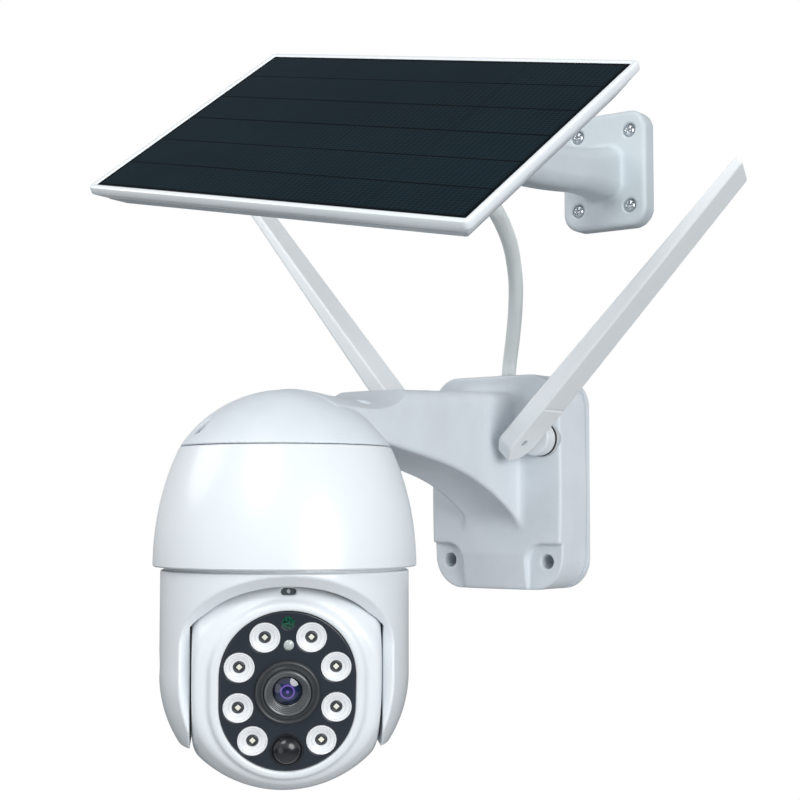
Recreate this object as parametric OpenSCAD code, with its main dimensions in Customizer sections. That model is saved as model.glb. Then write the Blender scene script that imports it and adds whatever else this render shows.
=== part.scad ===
// Solar-powered pan and tilt security camera on a wall box, with two paddle antennas and a solar panel.
// Millimetres, +Z up. The wall is the plane Y = 0 and everything reaches out from it towards -Y.
// The origin is the centre of the wall box's four screw holes.

/* [Wall box] */
// Width of the wall box
box_w = 74; // [72:1:84]
// Height of the wall box
box_h = 103; // [101:1:112]
// Depth of the wall box, from the wall to its front
box_d = 27.6; // [27:0.2:32]
// Wall thickness of the mouldings
wall = 2.6; // [2:0.1:3]
// Distance between the wall holes, left to right
hole_dx = 55.5; // [52:0.5:56]
// Distance between the wall holes, bottom to top
hole_dz = 76; // [76:1:78]
// Radius of a wall hole
wall_hole_r = 2.4; // [2:0.1:2.6]

/* [Arm and dome] */
// Distance from the wall to the pan axis
reach = 185; // [180:1:200]
// Half width of the arm at the wall box
arm_half_root = 15; // [14:0.5:15]
// Half width of the arm at the dome
arm_half_tip = 26; // [22:0.5:28]
// Height of the seam between the top cap and the dome
seam_z = 12.2; // [11.6:0.2:12.6]
// Height of the dome's lower rim
rim_z = -35.7; // [-36:0.1:-35.4]
// Outer radius of the dome at its lower rim
rim_r = 53.1; // [53:0.1:54]

/* [Head] */
// Height of the head's centre, which is also the nodding axis
ball_z = -75; // [-75.2:0.1:-74.8]
// Radius of the ball head
ball_r = 49.5; // [49:0.1:49.6]
// Half width of the head between the yoke's legs
head_half = 36.6; // [36:0.1:36.7]
// Width of the black face panel
face_w = 52; // [51.6:0.1:52.4]
// Height of the black face panel
face_h = 63.5; // [63:0.1:64]
// Which way the head faces at rest, in degrees from straight out towards +X
pan_rest = 42; // [0:1:60]
// How far the head nods down at rest, in degrees
nod_rest = 12.5; // [0:0.5:20]

/* [Antennas] */
// Distance from the middle to each antenna's axis
antenna_x = 28; // [27:0.1:28.5]
// Distance from the wall to the antenna's hinge pin
antenna_y = 50.3; // [49:0.1:52]
// Height of the antenna's hinge pin
antenna_z = 20.3; // [19:0.1:21]
// Length of the blade above its hinge pin
blade_l = 163; // [140:1:190]
// Lean of the right blade from upright, in degrees
lean_right = 45; // [35:0.5:50]
// Lean of the left blade from upright, in degrees
lean_left = 40; // [35:0.5:50]

/* [Solar panel] */
// Width of the solar panel
panel_w = 185; // [180:1:190]
// Depth of the solar panel, front edge to back edge
panel_d = 124; // [120:1:128]
// Thickness of the panel's white frame
panel_t = 12; // [11.5:0.1:12]
// Slope of the panel, in degrees
panel_slope = 37.8; // [36:0.1:40]
// Roll of the panel, its +X end down, in degrees
panel_roll = 10.4; // [9:0.1:12]
// Place of the panel's hinge: left to right
hinge_x = 50.5; // [50:0.1:51]
// Place of the panel's hinge: distance from the wall
hinge_y = 151; // [150:0.5:152]
// Place of the panel's hinge: height
hinge_z = 141.7; // [141:0.1:142]

/* [Hidden] */

// Small distances used throughout
over = 1;          // how far a cut runs past a face
run_gap = 0.05;    // radial clearance of a running fit
free_gap = 0.5;    // clearance between pieces that only pass each other

// Colours
white = [0.88, 0.91, 0.92];
grey_white = [0.78, 0.81, 0.82];
black = [0.05, 0.06, 0.07];
board_green = [0.05, 0.3, 0.16];
steel = [0.75, 0.76, 0.78];
brass = [0.8, 0.65, 0.35];
cell_blue = [0.06, 0.1, 0.13];

// Wall box
box_r = 15;
plate_t = 3;
gasket_t = 1.6;
front_t = 3;
post_r = 5.4;
pocket_r = 3.9;
pocket_y = 25.2;
pocket_w = 19.2;
pocket_h = 22;
thin_hole_y = 8;
arm_knee_y = 62;
arm_knee_w = 0.4;
cell_r = 9;
cell_l = 64.6;
cell_pitch = 19;
cell_z = 2.5;
wire_hole_r = 6;
gland_x = -1;
gland_y = 13;
gland_r = 5.5;
gland_top_h = 1.2;
gland_hole_r = 4;

// Arm and dome
cap_top_z = 35.6;
arm_top_root_z = 43.5;
arm_tip_y = 150;
arm_root_y = 28;
arm_tip_z = 15;
dome_b = 80.6;
cap_r0 = 51;
cap_zc = -16;
cap_b = 51.6;
flange_t = 3;
flange_hole_r = 22;
ledge_t = 3;
ledge_r = 43.5;
chassis_top = -7;
chassis_t = 3;
chassis_r = 46;
cap_screw_turn = -25;
cap_screw_r = 36;
cap_screw_seat = 16.5;
screw_head_r = 2.9;
screw_shank_r = 1.5;

// Pan drive: module 1 gears with stub teeth
gear_teeth = 44;
pinion_teeth = 12;
gear_pitch_r = gear_teeth / 2;
pinion_pitch_r = pinion_teeth / 2;
pan_centre = gear_pitch_r + pinion_pitch_r;
tooth_add = 0.75;
tooth_ded = 1.15;
gear_z = -20;
gear_t = 5;
spindle_r = 8;
spindle_bore_r = 5.5;
spindle_top = 0;
bearing_r = 11;
motor_r = 12;
motor_h = 14;
motor_shaft_r = 2;

// Yoke
yoke_r = 50;
yoke_neck_r = 48.6;
yoke_step_z = rim_z - 1.3;
yoke_top_z = -22;
yoke_roof = 2.4;
yoke_foot = 30;
slot_half = 37.3;
slot_drop = 5;
slot_arch_z = 9;
slot_arch_h = 24;
yoke_low = 3;
leg_bore_r = 6;
pin_r = 4;
shaft_r = 3;

// Head
face_y = 33;
bezel_y = 35.3;
bezel_w = face_w + 7.5;
bezel_h = face_h + 6.5;
split_y = -6;
panel_front_y = 34.7;
panel_back_y = 32.8;
led_rest = [[8.85, 21.5], [18.45, 9.8], [18.8, -6.2], [13.2, -19.4]];
cup_r = 5.9;
lens_ring_r = 12.45;
lens_ring_hole_r = 9;
lens_barrel_r = 9;
lens_glass_r = 5.7;
pir_z = -23.1;
pir_r = 5.9;
status_z = 27.2;
status_r = 2.6;
sensor_z = 18.5;
sensor_r = 2;
led_board_y = 26.8;
board_t = 1.6;
main_board_y = 8;
screw_x = 24;
screw_z = 24;

// Antennas
collar_r = 8.5;
collar_t = 3;
neck_r = 5.5;
antenna_spigot_r = 3;
knuckle_back = 12.4;
tongue_r = 6;
tongue_half = 2.3;
slot_half_t = 2.6;
blade_front = 8;
blade_back_root = 11;
blade_back_tip = 8;
blade_t_root = 8.4;
blade_t_tip = 4;
blade_foot = 11.5;
blade_cut = 4.5;
antenna_pin_r = 1.6;
tip_slope = 7;

// Bracket
bracket_x = 50.8;
bracket_z = 149.8;
bracket_w = 45;
bracket_h = 56;
bracket_r = 9;
bracket_t = 9;
bracket_dx = 28;
bracket_dz = 36.3;
bracket_seat_y = 7.5;
bracket_hole_r = 2;
stud_r = 1.9;
stud_l = 9;
pan_head_r = 3;
pan_head_h = 2.2;
arm_end_y = 134;
arm_bore_y = 119;
bracket_arm_r = 10;
spigot_r = 5;
eye_r = 8;
eye_half = 6;
ear_t = 4;
bolt_r = 3;
bolt_head_r = 5.5;
bolt_head_h = 4;
hinge_u = 3;
hinge_v = 41.5;
hinge_h = 24;

// Solar panel
border = 2.8;
glass_t = 1.6;
frame_deep = 7;
back_inset = 4;
cell_rows = 6;
cell_columns = 4;
cell_gap = 0.8;
cell_t = 0.5;
jbox_x = 38;
jbox_y = 14;
jbox_w = 36;
jbox_d = 26;
jbox_h = 6;
jgland_x = 32;
jgland_y = 16;
jgland_r = 5;
jgland_l = 6;

// A direction, and a point, of the panel's own frame carried to where the panel stands
function turned(p) =
    let (y = cos(panel_slope) * p[1] - sin(panel_slope) * p[2], z = sin(panel_slope) * p[1] +
        cos(panel_slope) * p[2])
    [cos(panel_roll) * p[0] + sin(panel_roll) * z, y, cos(panel_roll) * z - sin(panel_roll) * p[0]];
function on_panel(p) = [hinge_x, -hinge_y, hinge_z] + turned(p + [-hinge_u, -hinge_v, hinge_h]);

// The panel's cable: points chosen by hand, from the panel's gland down to the wall box
cable_r = 3.5;
cable_sides = 12;
cable_steps = 2;
cable_start = on_panel([jgland_x, jgland_y, -panel_t - jbox_h - jgland_l]);
cable_upper_route = [
    cable_start, [75, -165.5, 115.8], [72.5, -155, 113.2], [69, -142, 112.6], [63, -125, 112]
];
cable_lower_route = [
    [63, -125, 112], [51, -100, 110.5], [39, -75, 106.5], [28.5, -55, 101], [19, -38, 93],
    [11, -26, 81.5], [4.5, -18, 69.5], [0.5, -14, 60], [gland_x, -gland_y, box_h / 2 + gland_top_h]
];

// ---------- Helpers ----------

// A rectangle with round corners
module rounded_rect(w, h, r) {
    square([w - 2 * r, h], center = true);
    square([w, h - 2 * r], center = true);
    for (sx = [-1, 1], sy = [-1, 1]) translate([sx * (w / 2 - r), sy * (h / 2 - r)]) circle(r, $fn = 48);
}

// A round-ended upright oval
module oval(w, h) {
    square([w, h - w], center = true);
    for (s = [-1, 1]) translate([0, s * (h - w) / 2]) circle(d = w, $fn = 96);
}

// A flat outline in X and Z, filled between two distances from the wall
module slab(near, far) {
    translate([0, -near, 0]) rotate([90, 0, 0]) linear_extrude(height = far - near) children();
}

// A round bar along Y between two distances from the wall
module bar_y(r, near, far) { slab(near, far) circle(r, $fn = 48); }

// A round bar along X
module bar_x(r, x0, x1) { translate([x0, 0, 0]) rotate([0, 90, 0]) cylinder(r = r, h = x1 - x0, $fn = 64); }

// The four corners of a hole pattern in X and Z
module corners(dx, dz) {
    for (sx = [-1, 1], sz = [-1, 1]) translate([sx * dx / 2, 0, sz * dz / 2]) children();
}

module on_pan_axis() { translate([0, -reach, 0]) children(); }
module at_yoke() { translate([0, -reach, ball_z]) rotate([0, 0, pan_rest]) children(); }
module at_head() { at_yoke() rotate([nod_rest, 0, 0]) children(); }
module at_antenna(side) {
    lean = side > 0 ? lean_right : lean_left;
    translate([side * antenna_x, -antenna_y, antenna_z]) rotate([0, side * lean, 0]) children();
}
module at_bracket() { translate([bracket_x, 0, bracket_z]) children(); }
module at_knuckle() { translate([hinge_x, -hinge_y, hinge_z]) rotate([0, panel_roll, 0]) children(); }
module at_lug() { at_knuckle() rotate([panel_slope, 0, 0]) children(); }
module at_panel() { at_lug() translate([-hinge_u, -hinge_v, hinge_h]) children(); }

// Outer radius of the dome and of the cap at a height
function dome_r(z) = rim_r * sqrt(1 - pow((z - rim_z) / dome_b, 2));
function cap_r(z) = cap_r0 * sqrt(max(0, 1 - pow((z - cap_zc) / cap_b, 2)));

// Height of the arm's underside at a distance from the wall
function arm_part(y) = (arm_tip_y - y) / (arm_tip_y - arm_root_y);
function arm_under(y) = arm_tip_z - 16 * arm_part(y) - 20 * pow(arm_part(y), 4);

// A gear outline with straight-sided stub teeth, its first tooth on +X
module gear_outline(teeth, shift = 0) {
    pitch_r = teeth / 2;
    step = 360 / teeth;
    circle(pitch_r - tooth_ded, $fn = 96);
    for (i = [0 : teeth - 1]) rotate((i + shift) * step) polygon([
        [pitch_r - tooth_ded - 0.3, -0.95], [pitch_r, -0.62], [pitch_r + tooth_add, -0.32],
        [pitch_r + tooth_add, 0.32], [pitch_r, 0.62], [pitch_r - tooth_ded - 0.3, 0.95]
    ]);
}

// A pan-head screw along -Z with a cross recess, its seat at z = 0
module pan_screw(head_r, head_h, shank, length) {
    difference() {
        cylinder(r = head_r, h = head_h, $fn = 48);
        for (turn = [0, 90]) rotate(turn) translate([-head_r * 0.6, -0.3, head_h * 0.5])
            cube([head_r * 1.2, 0.6, head_h]);
    }
    translate([0, 0, -length]) cylinder(r = shank, h = length, $fn = 48);
}

// ---------- Wall box, arm and cap ----------

module box_outline(inset = 0) { rounded_rect(box_w - 2 * inset, box_h - 2 * inset, box_r - inset); }

module arm_side(inset) {
    steps = 14;
    root = box_d - over;
    function y_at(i) = arm_tip_y + (root - arm_tip_y) * i / steps;
    translate([-box_w, 0, 0]) rotate([90, 0, 90]) linear_extrude(height = 2 * box_w) polygon(concat(
        [[-reach, cap_top_z - inset], [-root, arm_top_root_z - inset]],
        [for (i = [steps : -1 : 0]) [-y_at(i), arm_under(y_at(i)) + inset]],
        [[-reach, arm_tip_z + inset]]
    ));
}

module arm_plan(inset) {
    translate([0, 0, -box_h]) linear_extrude(height = 2 * box_h) polygon([
        [-arm_half_root + inset, -box_d + over], [arm_half_root - inset, -box_d + over],
        [arm_half_root + arm_knee_w - inset, -arm_knee_y], [arm_half_tip - inset, -reach],
        [-arm_half_tip + inset, -reach], [inset - arm_half_root - arm_knee_w, -arm_knee_y]
    ]);
}

module arm_solid(inset) {
    intersection() {
        arm_side(inset);
        arm_plan(inset);
    }
}

module cap_solid(inset, foot) {
    steps = 12;
    high = cap_top_z - inset;
    on_pan_axis() rotate_extrude($fn = 128) polygon(concat(
        [[0, foot], [cap_r(seam_z) - inset, foot]],
        [for (i = [1 : steps]) let (z = seam_z + (cap_top_z - seam_z) * sin(90 * i / steps))
            [max(0, max(cap_r(z), 7) - inset), min(z, high)]],
        [[0, high]]
    ));
}

module cap_posts(r, z0, z1) {
    for (side = [0, 180]) on_pan_axis() rotate(cap_screw_turn + side) translate([0, -cap_screw_r, z0])
        cylinder(r = r, h = z1 - z0, $fn = 48);
}

// The block behind each lower screw pocket, and the pocket itself
module pockets(grow, floor_y) {
    for (sx = [-1, 1]) translate([sx * (box_w - pocket_w) / 2, -floor_y, (pocket_h - box_h) / 2])
        translate([-pocket_w / 2 - grow, floor_y - 2 * box_d, -pocket_h / 2 - grow])
        cube([pocket_w + 2 * grow, 2 * box_d - floor_y, pocket_h + 2 * grow]);
}

module arm_housing() {
    color(white) difference() {
        union() {
            difference() {
                union() {
                    slab(plate_t, box_d) box_outline();
                    arm_solid(0);
                    cap_solid(0, seam_z);
                }
                slab(plate_t - over, box_d - front_t) box_outline(wall);
                intersection() {
                    arm_solid(wall);
                    translate([-box_w, -reach, -box_h]) cube([2 * box_w, reach - box_d, 2 * box_h]);
                }
                cap_solid(wall, seam_z - over);
            }
            intersection() {
                union() {
                    corners(hole_dx, hole_dz) bar_y(post_r, plate_t, box_d - over);
                    pockets(wall, pocket_y - front_t);
                }
                slab(plate_t, box_d) box_outline();
            }
            intersection() {
                cap_posts(post_r, seam_z, cap_top_z);
                cap_solid(over, seam_z);
            }
        }
        corners(hole_dx, hole_dz) bar_y(wall_hole_r, 0, box_d + over);
        corners(hole_dx, hole_dz) bar_y(pocket_r, thin_hole_y, box_d + over);
        pockets(0, pocket_y);
        cap_posts(screw_shank_r, seam_z - over, cap_top_z);
        cap_posts(screw_head_r + 0.3, cap_screw_seat, arm_top_root_z);
        translate([gland_x, -gland_y, box_h / 2 - 2 * wall])
            cylinder(r = gland_hole_r, h = 4 * wall, $fn = 48);
        translate([0, 0, antenna_z]) bar_y(wire_hole_r, box_d - 2 * front_t, box_d + over);
        translate([0, 0, antenna_z]) corners(2 * antenna_x, 0)
            bar_y(neck_r, box_d - 2 * front_t, box_d + over);
    }
}

module back_plate() {
    color(grey_white) difference() {
        slab(0, plate_t) box_outline();
        corners(hole_dx, hole_dz) bar_y(wall_hole_r, -over, plate_t + over);
    }
}

module back_gasket() {
    color(black) difference() {
        slab(plate_t, plate_t + gasket_t) box_outline(wall + 0.3);
        slab(plate_t - over, plate_t + gasket_t + over) box_outline(wall + 2.6);
        corners(hole_dx, hole_dz) bar_y(post_r + 0.2, 0, box_d);
    }
}

module battery_cells() {
    color([0.2, 0.45, 0.6]) for (i = [-1, 0, 1])
        translate([0, -box_d + front_t + cell_r, cell_z + i * cell_pitch])
            bar_x(cell_r, -cell_l / 2, cell_l / 2);
}

module charge_board() {
    color(board_green) translate([-20, -box_d + front_t, cell_z + 2 * cell_pitch - 7])
        cube([40, board_t, 11]);
}

module box_gland() {
    color(grey_white) translate([gland_x, -gland_y, box_h / 2]) difference() {
        union() {
            cylinder(r = gland_r, h = gland_top_h, $fn = 48);
            translate([0, 0, -wall - over]) cylinder(r = gland_hole_r, h = wall + 2 * over, $fn = 48);
        }
        translate([0, 0, -2 * wall]) cylinder(r = cable_r - 1, h = 4 * wall, $fn = 48);
    }
}

// ---------- Dome ----------

module dome_profile(inset, z0, z1) {
    steps = 10;
    polygon(concat(
        [[0, z0]],
        [for (i = [0 : steps]) let (z = z0 + (z1 - z0) * i / steps) [dome_r(z) - inset, z]],
        [[0, z1]]
    ));
}

module dome_shell() {
    color(white) difference() {
        on_pan_axis() union() {
            rotate_extrude($fn = 128) difference() {
                dome_profile(0, rim_z, seam_z);
                dome_profile(wall - 0.2, rim_z - over, seam_z + over);
            }
            rotate_extrude($fn = 128) translate([flange_hole_r, seam_z - flange_t])
                square([dome_r(seam_z) - over - flange_hole_r, flange_t]);
            difference() {
                translate([0, 0, chassis_top])
                    cylinder(r = dome_r(chassis_top) - over, h = ledge_t, $fn = 128);
                translate([0, 0, chassis_top - over])
                    cylinder(r = ledge_r, h = ledge_t + 2 * over, $fn = 128);
            }
        }
        cap_posts(screw_shank_r, -box_h, seam_z + over);
    }
}

module cap_screws() {
    color(steel) for (side = [0, 180]) on_pan_axis() rotate(cap_screw_turn + side)
        translate([0, -cap_screw_r, cap_screw_seat]) pan_screw(screw_head_r, 1.8, screw_shank_r, 9);
}

module pan_chassis() {
    color(grey_white) on_pan_axis() translate([0, 0, chassis_top - chassis_t]) difference() {
        cylinder(r = chassis_r, h = chassis_t, $fn = 128);
        translate([0, 0, -over]) cylinder(r = bearing_r, h = chassis_t + 2 * over, $fn = 64);
        translate([0, pan_centre, -over])
            cylinder(r = motor_shaft_r + 2, h = chassis_t + 2 * over, $fn = 48);
    }
}

module pan_bearing() {
    color(brass) on_pan_axis() translate([0, 0, chassis_top - chassis_t]) difference() {
        union() {
            cylinder(r = bearing_r, h = chassis_t, $fn = 64);
            translate([0, 0, chassis_t]) cylinder(r = bearing_r + 3, h = 1.5, $fn = 64);
        }
        translate([0, 0, -over]) cylinder(r = spindle_r + run_gap, h = chassis_t + 4, $fn = 64);
    }
}

module pan_motor() {
    color(steel) on_pan_axis() translate([0, pan_centre, chassis_top]) difference() {
        cylinder(r = motor_r, h = motor_h, $fn = 64);
        translate([0, 0, -over]) cylinder(r = motor_shaft_r + run_gap, h = 5 + over, $fn = 48);
    }
}

module pan_pinion() {
    color(brass) on_pan_axis() translate([0, pan_centre, gear_z]) {
        linear_extrude(height = gear_t) gear_outline(pinion_teeth, 0.5);
        cylinder(r = motor_shaft_r, h = chassis_top + 4 - gear_z, $fn = 48);
    }
}

// ---------- Yoke ----------

module yoke_shell() {
    color(white) at_yoke() difference() {
        union() {
            translate([0, 0, -yoke_low])
                cylinder(r = yoke_r, h = yoke_step_z - ball_z + yoke_low, $fn = 128);
            cylinder(r = yoke_neck_r, h = yoke_top_z - ball_z, $fn = 128);
            intersection() {
                translate([0, 0, -yoke_low]) sphere(r = yoke_r, $fn = 128);
                translate([-yoke_r, -yoke_r, -yoke_foot])
                    cube([2 * yoke_r, 2 * yoke_r, yoke_foot - yoke_low]);
            }
        }
        slab(-2 * yoke_r, 2 * yoke_r) union() {
            polygon([for (a = [0 : 7.5 : 180]) [slot_half * cos(a), slot_arch_z + slot_arch_h * sin(a)]]);
            translate([-slot_half, -2 * yoke_r]) square([2 * slot_half, 2 * yoke_r + slot_arch_z + over]);
        }
        intersection() {
            sphere(r = ball_r + 0.7, $fn = 128);
            translate([-slot_half, -2 * yoke_r, -2 * yoke_r]) cube([2 * slot_half, 4 * yoke_r, 4 * yoke_r]);
        }
        intersection() {
            translate([0, 0, -slot_drop])
                cylinder(r = yoke_neck_r - wall + 1, h = yoke_top_z - yoke_roof - ball_z + slot_drop,
                    $fn = 128);
            translate([-slot_half, -2 * yoke_r, -2 * yoke_r]) cube([2 * slot_half, 4 * yoke_r, 4 * yoke_r]);
        }
        bar_x(leg_bore_r, -44, -slot_half + over);
        bar_x(shaft_r, slot_half - over, 44);
        translate([0, 0, yoke_top_z - ball_z - 2 * yoke_roof])
            cylinder(r = spindle_bore_r, h = 4 * yoke_roof, $fn = 64);
    }
}

module pan_gear() {
    color(grey_white) on_pan_axis() translate([0, 0, gear_z]) difference() {
        linear_extrude(height = gear_t) rotate(90) gear_outline(gear_teeth);
        translate([0, 0, -over]) cylinder(r = spindle_r, h = gear_t + 2 * over, $fn = 64);
    }
}

module pan_spindle() {
    color(steel) on_pan_axis() difference() {
        union() {
            translate([0, 0, yoke_top_z]) cylinder(r = 14, h = gear_z - yoke_top_z, $fn = 64);
            translate([0, 0, yoke_top_z]) cylinder(r = spindle_r, h = spindle_top - yoke_top_z, $fn = 64);
        }
        translate([0, 0, yoke_top_z - over])
            cylinder(r = spindle_bore_r, h = spindle_top - yoke_top_z + 2 * over, $fn = 64);
    }
}

module spindle_nut() {
    color(steel) on_pan_axis() translate([0, 0, chassis_top + 1.8]) difference() {
        cylinder(r = 13, h = 4, $fn = 6);
        translate([0, 0, -over]) cylinder(r = spindle_r, h = 4 + 2 * over, $fn = 64);
    }
}

module tilt_bush() {
    color(brass) at_yoke() difference() {
        bar_x(leg_bore_r, -44, -slot_half);
        bar_x(pin_r + run_gap, -44 - over, -slot_half + over);
    }
}

module tilt_shaft() { color(steel) at_yoke() bar_x(shaft_r, 24, 44); }

// ---------- Head ----------

// The ball cut flat on both sides, shrunk by an inset
module ball_slice(inset, near, far) {
    intersection() {
        sphere(r = ball_r - inset, $fn = 128);
        translate([-head_half + inset, -near, -ball_r])
            cube([2 * (head_half - inset), near - far, 2 * ball_r]);
    }
}

module each_led() { for (sx = [-1, 1], p = led_rest) translate([sx * p[0], 0, p[1]]) children(); }
module each_head_screw() { corners(2 * screw_x, 2 * screw_z) children(); }
module each_board_post() { translate([-3, 0, 0]) corners(22, 42) children(); }

module head_front() {
    color(white) at_head() difference() {
        union() {
            difference() {
                ball_slice(0, face_y, split_y);
                ball_slice(wall, face_y - wall, split_y - over);
            }
            slab(face_y - over, bezel_y) oval(bezel_w, bezel_h);
            intersection() {
                ball_slice(over, face_y - over, split_y);
                each_head_screw() bar_y(4, split_y, face_y - over);
            }
        }
        slab(0, face_y + 2 * over) oval(face_w - 2, face_h - 2);
        slab(panel_back_y, bezel_y + over) oval(face_w + 0.2, face_h + 0.2);
        each_head_screw() bar_y(screw_shank_r, split_y - over, 20);
        bar_x(pin_r, -head_half - over, -head_half + wall + over);
        bar_x(shaft_r + 1, head_half - wall - over, head_half + over);
    }
}

module head_rear() {
    color(white) at_head() difference() {
        union() {
            difference() {
                ball_slice(0, split_y, -ball_r);
                ball_slice(wall, split_y + over, -ball_r + wall);
            }
            intersection() {
                ball_slice(over, split_y, -ball_r);
                union() {
                    each_head_screw() bar_y(4.4, -ball_r, split_y);
                    each_board_post() bar_y(2.5, -ball_r, -main_board_y - board_t);
                }
            }
        }
        each_head_screw() bar_y(screw_shank_r, -ball_r, over);
        each_head_screw() bar_y(screw_head_r + 0.3, -ball_r, -20);
        bar_x(pin_r, -head_half - over, -head_half + wall + over);
        bar_x(shaft_r + 1, head_half - wall - over, head_half + over);
    }
}

module face_panel() {
    color(black) at_head() difference() {
        slab(panel_back_y, panel_front_y) oval(face_w, face_h);
        each_led() bar_y(cup_r, 0, bezel_y + over);
        bar_y(lens_barrel_r, 0, bezel_y + over);
        translate([0, 0, pir_z]) bar_y(pir_r, 0, bezel_y + over);
        translate([0, 0, status_z]) bar_y(status_r, 0, bezel_y + over);
        translate([0, 0, sensor_z]) bar_y(sensor_r, 0, bezel_y + over);
    }
}

module led_reflectors() {
    color([0.9, 0.9, 0.92]) at_head() each_led() rotate([90, 0, 0]) rotate_extrude($fn = 64) polygon([
        [1.9, led_board_y + board_t], [3.2, led_board_y + board_t], [cup_r, panel_back_y - 1],
        [cup_r, panel_front_y + 0.5], [cup_r - 0.6, panel_front_y + 0.5], [cup_r - 1.6, panel_back_y - 0.6],
        [1.9, led_board_y + board_t + 1.4]
    ]);
}

module led_chips() {
    color([0.95, 0.9, 0.7]) at_head() each_led() translate([-1.2, -led_board_y - board_t - 0.9, -1.2])
        cube([2.4, 0.9, 2.4]);
}

module led_board() {
    color(board_green) at_head() slab(led_board_y, led_board_y + board_t) difference() {
        oval(face_w - 4, face_h - 4);
        circle(r = lens_barrel_r + free_gap, $fn = 96);
    }
}

module lens_ring() {
    color(black) at_head() rotate([90, 0, 0]) rotate_extrude($fn = 96) polygon([
        [lens_ring_hole_r, panel_front_y], [lens_ring_r, panel_front_y], [lens_ring_r, panel_front_y + 1.2],
        [lens_ring_r - 1.2, panel_front_y + 2.2], [lens_ring_hole_r + 0.8, panel_front_y + 2.2],
        [lens_ring_hole_r, panel_front_y + 1.4]
    ]);
}

module lens_barrel() {
    color(black) at_head() rotate([90, 0, 0]) rotate_extrude($fn = 96) polygon([
        [0, 12], [lens_barrel_r, 12], [lens_barrel_r, 36.2], [lens_barrel_r - 0.8, 36.9],
        [lens_barrel_r - 1.6, 36.9], [lens_glass_r, 35], [lens_glass_r, 32.5], [0, 32.5]
    ]);
}

module lens_glass() {
    color([0.15, 0.12, 0.4]) at_head() intersection() {
        bar_y(lens_glass_r, 32.5, 40);
        translate([0, -24.3, 0]) sphere(r = 11.5, $fn = 96);
    }
}

module pir_dome() {
    color([0.03, 0.03, 0.035]) at_head() translate([0, 0, pir_z]) union() {
        bar_y(pir_r, led_board_y + board_t, panel_front_y);
        translate([0, -panel_front_y, 0]) intersection() {
            sphere(r = pir_r, $fn = 96);
            bar_y(pir_r, 0, 2 * pir_r);
        }
    }
}

module status_window() {
    color([0.05, 0.25, 0.15]) at_head() translate([0, 0, status_z])
        bar_y(status_r, led_board_y + board_t, panel_front_y + 0.2);
}

module light_sensor() {
    color([0.75, 0.78, 0.75]) at_head() translate([0, 0, sensor_z])
        bar_y(sensor_r, led_board_y + board_t, panel_front_y + 0.3);
}

module main_board() {
    color(board_green) at_head() translate([-18, main_board_y, -26]) cube([30, board_t, 52]);
}

module speaker() {
    color(black) at_head() translate([-3, 0, 0])
        bar_y(12, -main_board_y - board_t - 9, -main_board_y - board_t);
}

module tilt_motor() {
    color(steel) at_head() difference() {
        bar_x(9, 15, head_half - wall);
        bar_x(shaft_r + run_gap, 23, head_half);
    }
}

module tilt_pin() {
    color(steel) at_head() union() {
        bar_x(pin_r, -43.5, -head_half + wall);
        bar_x(pin_r + 2.5, -head_half + wall, -head_half + wall + 2);
    }
}

module head_screws() {
    color(steel) at_head() each_head_screw() translate([0, 20, 0]) rotate([-90, 0, 0])
        pan_screw(screw_head_r, 1.8, screw_shank_r, 24);
}

// ---------- Antennas ----------

module antenna_base(side) {
    color(grey_white) translate([side * antenna_x, 0, antenna_z]) difference() {
        union() {
            bar_y(neck_r, box_d - front_t + 0.2, box_d);
            bar_y(collar_r, box_d, box_d + collar_t);
        }
        bar_y(antenna_spigot_r + run_gap, 0, box_d + collar_t + over);
    }
}

// The knuckle turns in the collar and holds the blade's pin in its tongue
module antenna_knuckle(side) {
    face = box_d + collar_t + 0.3;
    color(white) difference() {
        union() {
            translate([side * antenna_x, 0, antenna_z]) bar_y(antenna_spigot_r, box_d - front_t + 0.2, face);
            translate([side * antenna_x, 0, antenna_z])
                bar_y(collar_r - 0.5, face, antenna_y - knuckle_back);
            at_antenna(side) bar_x(tongue_r, -tongue_half, tongue_half);
            at_antenna(side) translate([-tongue_half, 0, -tongue_r])
                cube([2 * tongue_half, knuckle_back + over, 2 * tongue_r]);
        }
        at_antenna(side) bar_x(antenna_pin_r, -2 * tongue_half, 2 * tongue_half);
    }
}

module antenna_pin(side) {
    color(steel) at_antenna(side) bar_x(antenna_pin_r, -blade_t_root / 2, blade_t_root / 2);
}

// A tapered paddle, slotted at its foot for the knuckle's tongue
module antenna_blade(side) {
    color(white) at_antenna(side) difference() {
        intersection() {
            rotate([90, 0, 90]) translate([0, 0, -blade_t_root / 2])
                linear_extrude(height = blade_t_root)
                polygon(concat(
                    [[-blade_front, -blade_cut]],
                    [for (a = [-90 : 7.5 : 0]) [blade_foot * cos(a), blade_foot * sin(a)]],
                    [[blade_foot, 12], [blade_back_root, 21], [blade_back_tip, blade_l - tip_slope]],
                    [[-blade_front, blade_l]]
                ));
            rotate([90, 0, 0]) translate([0, 0, -2 * blade_back_root])
                linear_extrude(height = 4 * blade_back_root) polygon([
                [-blade_t_root / 2, -blade_foot], [blade_t_root / 2, -blade_foot], [blade_t_root / 2, 20],
                [blade_t_tip / 2, blade_l], [-blade_t_tip / 2, blade_l], [-blade_t_root / 2, 20]
            ]);
        }
        translate([-slot_half_t, 0.4 - blade_front + 1.2, -2 * tongue_r])
            cube([2 * slot_half_t, 4 * blade_front, 3 * tongue_r + 0.8]);
        bar_x(antenna_pin_r + run_gap, -blade_t_root, blade_t_root);
    }
}

module antenna_base_right() { antenna_base(1); }
module antenna_knuckle_right() { antenna_knuckle(1); }
module antenna_pin_right() { antenna_pin(1); }
module antenna_blade_right() { antenna_blade(1); }
module antenna_base_left() { antenna_base(-1); }
module antenna_knuckle_left() { antenna_knuckle(-1); }
module antenna_pin_left() { antenna_pin(-1); }
module antenna_blade_left() { antenna_blade(-1); }

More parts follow.
